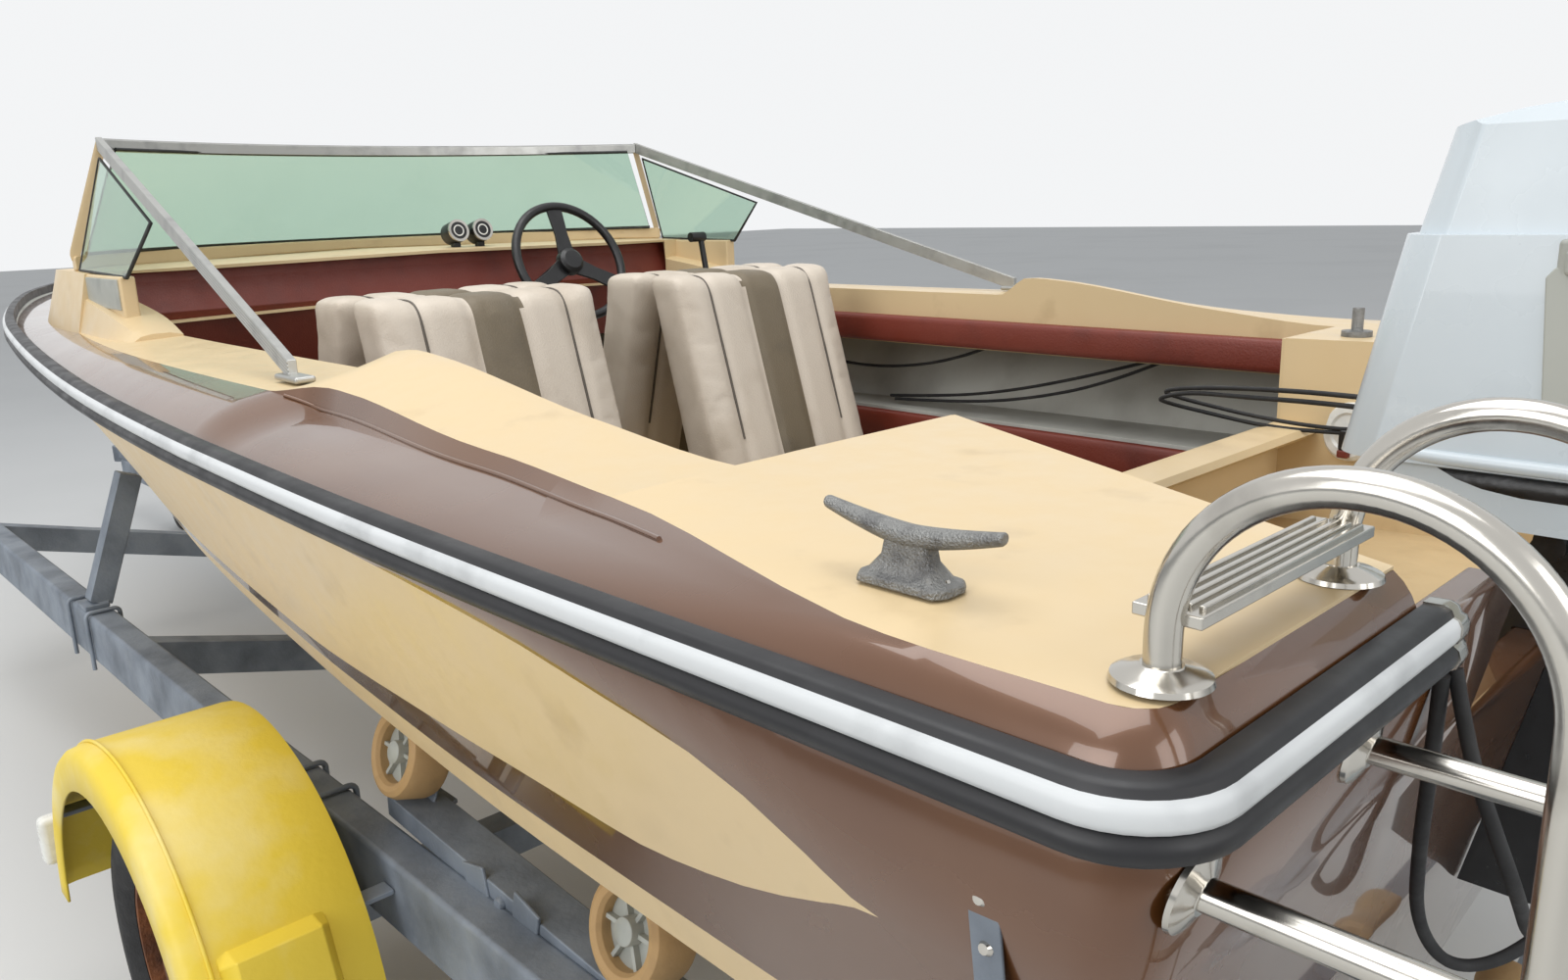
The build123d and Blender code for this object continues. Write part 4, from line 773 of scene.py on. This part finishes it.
def inflate(obj):
    """Blows the closed form up as cloth, each point by no more than the limit."""
    cloth = obj.modifiers.new("cloth", "CLOTH")
    settings = cloth.settings
    settings.quality = 4
    settings.mass = 0.4
    settings.tension_stiffness = settings.compression_stiffness = 12
    settings.bending_stiffness = 1
    settings.use_pressure = True
    settings.uniform_pressure_force = 4
    settings.effector_weights.gravity = 0
    cloth.collision_settings.use_collision = False
    rest = [v.co.copy() for v in obj.data.vertices]
    for step in range(1, CLOTH_FRAMES + 1):
        scene.frame_set(step)
    applied(obj)
    scene.frame_set(1)
    for vertex, start in zip(obj.data.vertices, rest):
        move = vertex.co - start
        if move.length > SWELL_LIMIT:
            vertex.co = start + move.normalized() * SWELL_LIMIT


def pipe(name, tree, middle, y):
    """Piping round a pad at one seam, laid on the surface from all round, down to the seat's base."""
    route = []
    for step in range(PIPING_STEPS):
        angle = 2 * pi * step / PIPING_STEPS
        away = Vector((cos(angle), 0, sin(angle)))
        spot = tree.ray_cast(Vector((middle.x, y + 0.001, middle.z)) + away * 0.9, -away)[0]
        if spot and spot.z > at(0, 0, -280).z:
            route.append(spot + away * 0.001)
    if len(route) > 3:
        start = max(range(len(route)), key=lambda k: (route[k] - route[k - 1]).length)
        tube(name, route[start:] + route[:start], 0.0035, piping, smooth=True, sides=2)


def pad(name, outline, y_low, y_high, node):
    """A stuffed pad whose outline is given as (x, z), with sewn seams and a darker panel between two of them."""
    looks = [vinyl, taupe]
    skin = Skin()
    ends = [[at(x, y, z) for x, z in outline] for y in (y_low + 5, y_high - 5)]
    skin.grid(ends, around=True)
    skin.face(ends[0])
    skin.face(ends[1][::-1])
    obj = rounded_edges(skin.piece(name, looks), 0.022)
    remesh = obj.modifiers.new("remesh", "REMESH")
    remesh.mode = "VOXEL"
    remesh.voxel_size = CELL
    applied(obj)
    inflate(obj)
    mesh = obj.data
    normals = [v.normal.copy() for v in mesh.vertices]
    seam_ys = [at(0, mixed(y_low, y_high, share), 0).y for share in SEAMS]
    for vertex, normal in zip(mesh.vertices, normals):
        if abs(normal.y) < 0.8:
            for seam_y in seam_ys:
                vertex.co -= normal * SEAM_DEPTH * exp(-((vertex.co.y - seam_y) / SEAM_REACH) ** 2)
    mesh.materials.clear()
    for look in looks:
        mesh.materials.append(look)
    for polygon in mesh.polygons:
        polygon.use_smooth = True
        polygon.material_index = 1 if seam_ys[1] < polygon.center.y < seam_ys[2] else 0
    subdivide = obj.modifiers.new("smooth", "SUBSURF")
    subdivide.levels = subdivide.render_levels = 1
    stands_for(obj, node)
    tree = BVHTree.FromPolygons([v.co for v in mesh.vertices], [p.vertices for p in mesh.polygons])
    middle = sum((at(x, 0, z) for x, z in outline), Vector()) / len(outline)
    for index in (0, len(SEAMS) - 1):
        pipe(f"{name}_piping_{index}", tree, middle, seam_ys[index])


def padded_roll(name, side, x_low, x_high, y_low, y_high, z_low, z_high):
    """A long stuffed roll along the cockpit's side, drawn in at its ends."""
    places = [x_low, x_low + 8, x_low + 24] + [mixed(x_low + 60, x_high - 60, k / 20) for k in range(21)]
    rings = []
    for x in places + [x_high - 24, x_high - 8, x_high]:
        ends = min(1, 0.45 + 0.55 * sin(min(1, min(x - x_low, x_high - x) / 30) * pi / 2))
        ring = []
        for k in range(16):
            u = squared_off(cos(2 * pi * k / 16), 0.5) * ends
            v = squared_off(sin(2 * pi * k / 16), 0.55) * ends
            ring.append(at(x, side * ((y_low + y_high) / 2 + u * (y_high - y_low) / 2),
                           (z_low + z_high) / 2 + v * (z_high - z_low) / 2))
        rings.append(ring)
    roll = Skin()
    roll.loft(rings)
    piece = roll.piece(name, [red], angle=60)
    stands_for(piece, "side_padding")


for side, word in SIDES:
    for name, outline, node in SEAT_PADS:
        pad(f"{name}_{word}", outline, side * SEAT_Y - SEAT_WIDTH / 2, side * SEAT_Y + SEAT_WIDTH / 2, node)
    padded_roll(f"bolster_{word}", side, 722, 2438, COCKPIT_HALF - 36, COCKPIT_HALF - 1, -95, -25)
    padded_roll(f"locker_pad_{word}", side, 772, 2318, 768, 799, -377, -283)

# Boarding hoops with their braces and ribbed steps
HOOP_FOOT, HOOP_LEG, HOOP_TOP, HOOP_END, HOOP_BEND = 88, -115, 131, -560, 0.1005
BRACE_Z = -120
FLANGE = [(0, 0.010), (0.0125, 0.010), (0.0135, 0.009), (0.024, 0.006), (0.029, 0.0035), (0.030, 0)]
COLLAR = [(0.011, -0.012), (0.0135, -0.011), (0.0135, 0.011), (0.011, 0.012)]
flange_x = transom_x(BRACE_Z) - 0.3
tilted = Vector((-cos(radians(12)), 0, -sin(radians(12))))
for y, word in ((750, "inner"), (1000, "outer")):
    route = bent([at(HOOP_FOOT, y, 6), at(HOOP_FOOT, y, HOOP_TOP), at(HOOP_LEG, y, HOOP_TOP),
                  at(HOOP_LEG, y, HOOP_END)], HOOP_BEND, 18)
    stands_for(tube(f"hoop_{word}", route, 0.011, steel, sides=8), "boarding_ladder")
    lathe(f"hoop_flange_{word}", FLANGE, at(HOOP_FOOT, y, 3.5), (0, 0, 1), [steel])
    tube(f"hoop_brace_{word}", [at(flange_x - 4, y, BRACE_Z), at(HOOP_LEG, y, BRACE_Z)], 0.011, steel, sides=6)
    lathe(f"brace_flange_{word}", FLANGE, at(flange_x, y, BRACE_Z), tilted, [steel])
    lathe(f"brace_collar_{word}", COLLAR, at(HOOP_LEG + 16, y, BRACE_Z), (1, 0, 0), [steel])
steps = []
for x, z in ((HOOP_FOOT, 42), (HOOP_LEG, -320), (HOOP_LEG, -548)):
    steps.append(((x - 22, x + 22), (752, 998), (z - 5, z + 3)))
    steps += [((x + dx - 2, x + dx + 2), (762, 988), (z + 2, z + 6)) for dx in (-16, -8, 0, 8, 16)]
blocks("hoop_steps", steps, steel, width=0.0012)

# Cleats and the bow eye
CLEAT_X, CLEAT_Y, HORN_REACH = 305, 964, 82
for side, word in SIDES:
    cleat = Skin()
    x, y = CLEAT_X, side * CLEAT_Y
    rings = []
    for k in range(-10, 11):
        share = k / 10
        half_y, half_z = 11 - 5.5 * abs(share) ** 1.5, 9 - 4 * abs(share) ** 1.3
        lift = 40 + 13 * abs(share) ** 1.4
        rings.append([at(x + HORN_REACH * share, y + half_y * cos(2 * pi * n / 12),
                         lift + half_z * sin(2 * pi * n / 12)) for n in range(12)])
    cleat.loft(rings)
    legs = [[at(x + half_x * cx, y + half_y * cy, z) for cx, cy in
             ((-1, -0.5), (-0.85, -1), (0.85, -1), (1, -0.5), (1, 0.5), (0.85, 1), (-0.85, 1), (-1, 0.5))]
            for z, half_x, half_y in ((3.5, 42, 20), (10, 41, 19), (13, 34, 14), (24, 24, 9), (38, 20, 9))]
    cleat.grid(legs, around=True)
    cleat.face(legs[0][::-1])
    stands_for(rounded_edges(cleat.piece(f"cleat_{word}", [casting], angle=45), 0.002, 2, 40), "mooring_fittings")
    for dx, end in ((-31, "aft"), (31, "fore")):
        lathe(f"cleat_screw_{word}_{end}", [(0, 0.0025), (0.003, 0.0022), (0.005, 0)], at(x + dx, y, 12), (0, 0, 1),
              [steel], steps=12)
low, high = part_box("mooring_fittings")
eye_at = Vector((high[0] - 0.03, 0, low[2] + 0.04))
eye_places = ((-0.02, 0, 0.035), (0.02, 0, 0), (0.03, 0, 0.06), (0, 0, 0.075))
tube("bow_eye", bent([eye_at + Vector(place) for place in eye_places], 0.015), 0.005, steel)

# Cowl: a pale panel with a latch on each side, a lip round the lower rim, and the pan's skirt below it
for side, word in SIDES:
    panel = Skin()
    out = [at(x, side * (202.5 - (z + 30) * 0.0645), z) for x, z in
           ((120, 176), (112, 186), (-250, 196), (-262, 186), (-266, 60), (108, 47))]
    panel.face(out if side > 0 else out[::-1])
    rounded_edges(thick(panel.piece(f"cowl_panel_{word}", [panel_grey], "motor"), 0.006, 0), 0.002, 2)
    blocks(f"cowl_latch_{word}", [((70, 112), spread(side, 180, 192), (170, 214)),
                                  ((78, 104), spread(side, 188, 199), (178, 204))], panel_grey, "motor", 0.005)
lip_route = [[squared_off(each, 0.35) for each in polar(1, degrees)] for degrees in range(0, 361, 5)]
tube("cowl_lip", [at(-14 + 333 * u, 201 * v, -20) for u, v in lip_route], 0.008, motor_white, "motor", sides=3)
skirt = Skin()
skirt.grid([[at(-18 + (324 - drop / 6) * u, (194 - drop / 6) * v, -33 - drop) for u, v in lip_route]
            for drop in (0, 20, 40, 59)])
thick(skirt.piece("pan_skirt", [motor_black], "motor", 50), 0.003)

# Cables: two from the round plate to the motor's bracket, three along the starboard side, two hoses at the stern
lathe("cable_plate", [(0, 0.006), (0.03, 0.006), (0.034, 0.010), (0.046, 0.010), (0.052, 0.005), (0.053, -0.01)],
      at(578, -562, -156), (0.25, 1, 0.1), [lamp_white])
blocks("cable_bracket", [((304, 345), (-92, -20), (-62, 12)), ((306, 340), (-84, -30), (10, 28))], motor_black,
       "motor", 0.006)


def cable(name, places, diameter):
    made = tube(name, [at(*place) for place in places], diameter / 2, black_rubber, smooth=True, sides=3)


for index in range(2):
    drop, out = 14 * index, 10 * index
    cable(f"control_cable_{index + 1}", [
        (576, -552, -150 - drop / 2), (600, -520, -146 - drop / 2), (690, -480, -134 - drop),
        (790, -440, -112 - drop), (828 + out, -380, -90 - drop), (800 + out, -300, -68 - drop),
        (720, -240, -48 - drop / 2), (600, -180, -30 - drop), (440, -100, -12 - drop), (343, -52, -6 - drop)], 0.0075)
blocks("cable_connector", [((570, 588), (-552, -536), (-186, -150))], black, width=0.003)
blocks("connector_band", [((569, 589), (-553, -535), (-200, -186))], red, width=0.003)
for index, places in enumerate((
        ((2420, -800, -150), (2200, -838, -165), (1960, -845, -186), (1700, -850, -150), (1560, -838, -96)),
        ((1900, -838, -255), (1700, -846, -240), (1500, -850, -206), (1280, -850, -150), (1130, -842, -104)),
        ((1880, -834, -262), (1660, -842, -252), (1450, -846, -222), (1240, -846, -166), (1100, -840, -104))), 1):
    cable(f"side_cable_{index}", places, 0.008)
for index, places in enumerate((
        ((56, 606, -108), (62, 588, -190), (78, 540, -300), (92, 480, -410), (72, 430, -478), (30, 380, -470),
         (-6, 300, -420), (4, 112, -350)),
        ((50, 596, -104), (32, 602, -170), (8, 600, -230), (-8, 575, -292), (-4, 490, -380), (-12, 380, -430),
         (-14, 250, -425), (6, 112, -400))), 1):
    cable(f"motor_hose_{index}", places, 0.0125)

# Wheels and fenders
AXLE_X, HUB_Z, WHEEL_Y = 1620, -875, 1118
BAR_RADIUS = 366
TYRE_SIDE = [(0.176, -0.067), (0.19, -0.076), (0.212, -0.083), (0.245, -0.081), (0.264, -0.074), (0.277, -0.066),
             (0.283, -0.056)]
FENDER_SECTION = ((1004, 384), (1005, 391), (1012, 392), (1080, 392), (1160, 392), (1222, 392), (1238, 389),
                  (1247, 381), (1250, 368), (1250, 326))
NUT = [(0.0, 0.014), (0.007, 0.014), (0.0095, 0.008), (0.0095, -0.002)]
tyre_profile = list(TYRE_SIDE)
for rib in (-0.042, -0.014, 0.014, 0.042):
    tyre_profile += [(0.285, rib - 0.006), (0.278, rib - 0.003), (0.278, rib + 0.003), (0.285, rib + 0.006)]
tyre_profile += flipped(TYRE_SIDE)


def off_axle(radius, degrees, y):
    ahead, rise = polar(radius, degrees)
    return at(AXLE_X + ahead, y, HUB_Z + rise)


for side, word in SIDES:
    stands_for(lathe(f"tyre_{word}_tread", tyre_profile, at(AXLE_X, side * WHEEL_Y, HUB_Z), (0, 1, 0), [tread],
                     f"wheel_{word}", 72), f"tyre_{word}")
    for k in range(4):
        lathe(f"wheel_nut_{word}_{k + 1}", NUT, off_axle(50, 45 + 90 * k, side * (WHEEL_Y + 4)), (0, side, 0),
              [rust], f"wheel_{word}", 6)
    rows = []
    for k in range(41):
        flare = 3 * max(0, abs(k - 20) / 20 - 0.85) / 0.15
        rows.append([off_axle(r + flare, 3 + 174 * k / 40, side * y) for y, r in FENDER_SECTION])
    fender = Skin()
    fender.grid(rows)
    stands_for(thick(fender.piece(f"fender_{word}", [yellow], angle=40), 0.004), "fenders")
    block = Skin()
    block.loft([[off_axle(r + grow * lift, a, side * y) for a, r, grow in
                 ((147, 390, 0), (150, 391, 1), (166, 391, 1), (175, 391, 0.3), (175, 388, 0), (161, 388, 0))]
                for y, lift in ((1060, 4), (1076, 30), (1190, 30), (1206, 4))])
    rounded_edges(block.piece(f"fender_block_{word}", [yellow]), 0.004)
    blocks(f"fender_lamp_{word}", [((AXLE_X + 391, AXLE_X + 422), spread(side, 1196, 1262),
                                    (HUB_Z + 60, HUB_Z + 150))], lamp_white, width=0.012)
    ridge = [off_axle(394, a, side * 1216) for a in range(6, 176, 4)]
    tube(f"fender_ridge_{word}", ridge, 0.003, yellow, sides=2)
    bars = []
    for angle in (32, 148):
        ahead, rise = polar(BAR_RADIUS, angle)
        bars.append(((AXLE_X + ahead - 16, AXLE_X + ahead + 16), spread(side, 956, 1240),
                     (HUB_Z + rise - 8, HUB_Z + rise)))
    blocks(f"fender_bars_{word}", bars, galvanised, width=0.002)

# Rollers: wheels with spoked hubs at the sides, waisted rollers under the keel, and the rockers that carry them
ROLLER_Y, ROLLER_RADIUS, ARM_Y, ARM_DROP = 850, 70, 865, 0.100
ALONG_X, ALONG_Y = Vector((1, 0, 0)), Vector((0, 1, 0))
ROLLER_TYRE = [(0.046, 0.026), (0.050, 0.032), (0.058, 0.034), (0.066, 0.030), (0.0700, 0.020)]
ROLLER_TYRE += flipped(ROLLER_TYRE) + ROLLER_TYRE[:1]
ROLLER_HUB = [(0.047, 0.024), (0.047, 0.012), (0.018, 0.012), (0.017, 0.030), (0.009, 0.034), (0, 0.034)]
KEEL_ROLLER = [(0.0081, 0.055), (0.034, 0.058), (0.040, 0.053), (0.040, 0.040), (0.034, 0.016)]
KEEL_ROLLER += [(0.033, 0)] + flipped(KEEL_ROLLER)
ROCKER_PIN = [(0, 0.041), (0.008, 0.041), (0.0095, 0.038), (0.0095, 0.030), (0.018, 0.029), (0.018, -0.02)]
for side, word in SIDES:
    arm, middles = Skin(), []
    for x, end_word in ((800, "aft"), (1370, "fore")):
        row = fair(lines, x)
        lean = atan2(row.chine_z - row.keel_z, row.chine_y)
        low_z = mixed(row.keel_z, row.chine_z, ROLLER_Y / row.chine_y)
        middle = at(x, side * (ROLLER_Y + ROLLER_RADIUS * sin(lean)), low_z - ROLLER_RADIUS * cos(lean))
        along = Vector((0, side * cos(lean), sin(lean)))
        down = Vector((0, side * sin(lean), -cos(lean)))
        middles.append(middle)
        wheel = Skin()
        turned(wheel, ROLLER_TYRE, middle, along)
        turned(wheel, ROLLER_HUB, middle, along, kinds=1)
        turned(wheel, [(0.047, -0.024), (0, -0.022)], middle, along, kinds=1)
        turn = along.to_track_quat("Z", "Y").to_matrix()
        spokes_from = len(wheel.faces)
        for k in range(6):
            out = turn @ Vector((cos(pi * k / 3), sin(pi * k / 3), 0))
            start = middle + along * 0.016
            plank(wheel, start + out * 0.016, start + out * 0.0465, 0.006, 0.010, out.cross(along))
        wheel.kinds[spokes_from:] = [1] * (len(wheel.faces) - spokes_from)
        roller = wheel.piece(f"side_roller_{end_word}_{word}", [tan_rubber, panel_grey], angle=40)
        stands_for(rounded_edges(roller, 0.001, 2), "hull_rollers")
        plank(arm, middle - along * 0.060, middle - along * 0.020, 0.016, 0.016, down)
        cheek = middle - along * 0.045
        plank(arm, cheek - down * 0.014, cheek + down * 0.104, 0.044, 0.005, ALONG_X)
    lower = [Vector((m.x, side * ARM_Y / 1000, m.z - ARM_DROP)) for m in middles]
    run = (lower[1] - lower[0]).normalized() * 0.05
    ends, web = (lower[0] - run, lower[1] + run), Vector((0, 0, 0.024))
    plank(arm, *ends, 0.066, 0.036, ALONG_Y)
    plank(arm, ends[0] - web, ends[1] - web, 0.04, 0.02, ALONG_Y)
    for spot in lower:
        plank(arm, spot + Vector((0, -side * 0.045, 0.008)), spot + Vector((0, side * 0.03, 0.008)), 0.06, 0.008,
              ALONG_X)
    middle = (lower[0] + lower[1]) / 2
    for reach in (-0.07, 0.07):
        plank(arm, middle + Vector((reach, side * 0.034, 0.03)),
              middle + Vector((reach * 0.6, side * 0.034, -0.085)), 0.06, 0.006, ALONG_X)
    stands_for(rounded_edges(arm.piece(f"rocker_{word}", [galvanised]), 0.003, 2), "roller_arms")
    lathe(f"rocker_pin_{word}", ROCKER_PIN, middle, (0, side, 0), [galvanised], steps=18)
for index, x in enumerate((120, 620, 2650), 1):
    stands_for(lathe(f"keel_roller_{index}", KEEL_ROLLER, at(x, 0, fair(lines, x).keel_z - 40.3), (0, 1, 0),
                     [tan_rubber]), "hull_rollers")

# U-bolts over the rails at the bow posts and the axle, and a strap down the transom's corner
BOLT_HALF, BOLT_INNER, BOLT_OUTER, BOLT_LOW, BOLT_TOP = 0.005, 888, 962, -775, -634
STRAP_TOP, STRAP_FOOT = (1036, -150), (1012, -300)
for side, word in SIDES:
    for index, x in enumerate((2870, 3030, 1560, 1680), 1):
        route = [at(x, side * y, z) for y, z in ((BOLT_INNER, BOLT_LOW), (BOLT_INNER, BOLT_TOP),
                                                 (BOLT_OUTER, BOLT_TOP), (BOLT_OUTER, BOLT_LOW))]
        tube(f"rail_bolt_{word}_{index}", bent(route, 0.012, 4), BOLT_HALF, galvanised, sides=3)
strap = Skin()
plank(strap, at(186, *STRAP_TOP), at(190, *STRAP_FOOT), 0.026, 0.003, ALONG_X)
rounded_edges(strap.piece("stern_strap", [galvanised]), 0.001, 1)
for index, z in enumerate((-165, -205, -245, -285), 1):
    out = mixed(STRAP_TOP[0], STRAP_FOOT[0], (STRAP_TOP[1] - z) / (STRAP_TOP[1] - STRAP_FOOT[1])) + 1.5
    lathe(f"strap_bolt_{index}", [(0, 0.004), (0.004, 0.0035), (0.006, 0)], at(187, out, z), (0, 1, 0.15), [steel],
          steps=14)

# Floor, light and camera
FLOOR_HALF = 40
floor_mesh = bpy.data.meshes.new("floor")
floor_mesh.from_pydata([(u * FLOOR_HALF, v * FLOOR_HALF, 0) for u, v in SQUARE], [], [(0, 1, 2, 3)])
floor = placed("floor", floor_mesh)
floor_mesh.materials.append(finish("floor", (214, 214, 212), (208, 208, 206), 0.4, rough=(0.8, 0.9)))

# The world lights the object plainly, and shows as a pale background to the camera, gloss and glass
world = bpy.data.worlds.new("sky")
scene.world = world
world.use_nodes = True
tree = world.node_tree
light = with_values(tree.nodes["Background"], color=(0.86, 0.9, 0.95, 1), strength=0.55)
shown = shader_node(tree, "Background", color=(0.9, 0.91, 0.92, 1))
rays, choose = shader_node(tree, "LightPath"), shader_node(tree, "MixShader")
ray = rays.outputs["Is Camera Ray"]
for kind in ("Is Glossy Ray", "Is Transmission Ray"):
    either = shader_node(tree, "Math")
    either.operation = "MAXIMUM"
    tree.links.new(ray, either.inputs[0])
    tree.links.new(rays.outputs[kind], either.inputs[1])
    ray = either.outputs[0]
for index, socket in enumerate((ray, light.outputs[0], shown.outputs[0])):
    tree.links.new(socket, choose.inputs[index])
tree.links.new(choose.outputs[0], tree.nodes["World Output"].inputs["Surface"])


def lamp(name, place, target, size, power):
    data = bpy.data.lights.new(name, "AREA")
    data.size, data.energy = size, power
    obj = placed(name, data)
    obj.location = place
    obj.rotation_euler = (Vector(target) - Vector(place)).to_track_quat("-Z", "Y").to_euler()


lamp("sky_panel", (-1, 1, 7), (0, 0, 0.8), 6, 330)
lamp("port_panel", (-2, 6.5, 3.5), (-1, 0, 0.9), 4, 170)
lamp("stern_panel", (-8, 0, 3.5), (-2, 0, 1), 4, 120)

# The camera as it was matched to the photograph
FOCAL_PIXELS, IMAGE_WIDTH, SENSOR = 1206.09, 1600, 36
YAW, PITCH, ROLL = radians(-43.434), radians(-13.835), radians(-1.783)
CAMERA_AT = (-3.1128, 1.5865, 1.4366)
forward = Vector((cos(PITCH) * cos(YAW), cos(PITCH) * sin(YAW), sin(PITCH)))
level = forward.cross(Vector((0, 0, 1))).normalized()
upright = level.cross(forward)
right = level * cos(ROLL) + upright * sin(ROLL)
up = upright * cos(ROLL) - level * sin(ROLL)
camera_data = bpy.data.cameras.new("camera")
camera_data.sensor_width = SENSOR
camera_data.lens = FOCAL_PIXELS * SENSOR / IMAGE_WIDTH
camera_data.clip_start = 0.02
camera = placed("camera", camera_data)
camera.matrix_world = Matrix.Translation(CAMERA_AT) @ Matrix((right, up, -forward)).transposed().to_4x4()
bpy.context.scene.camera = camera
scene.view_settings.view_transform = "Standard"
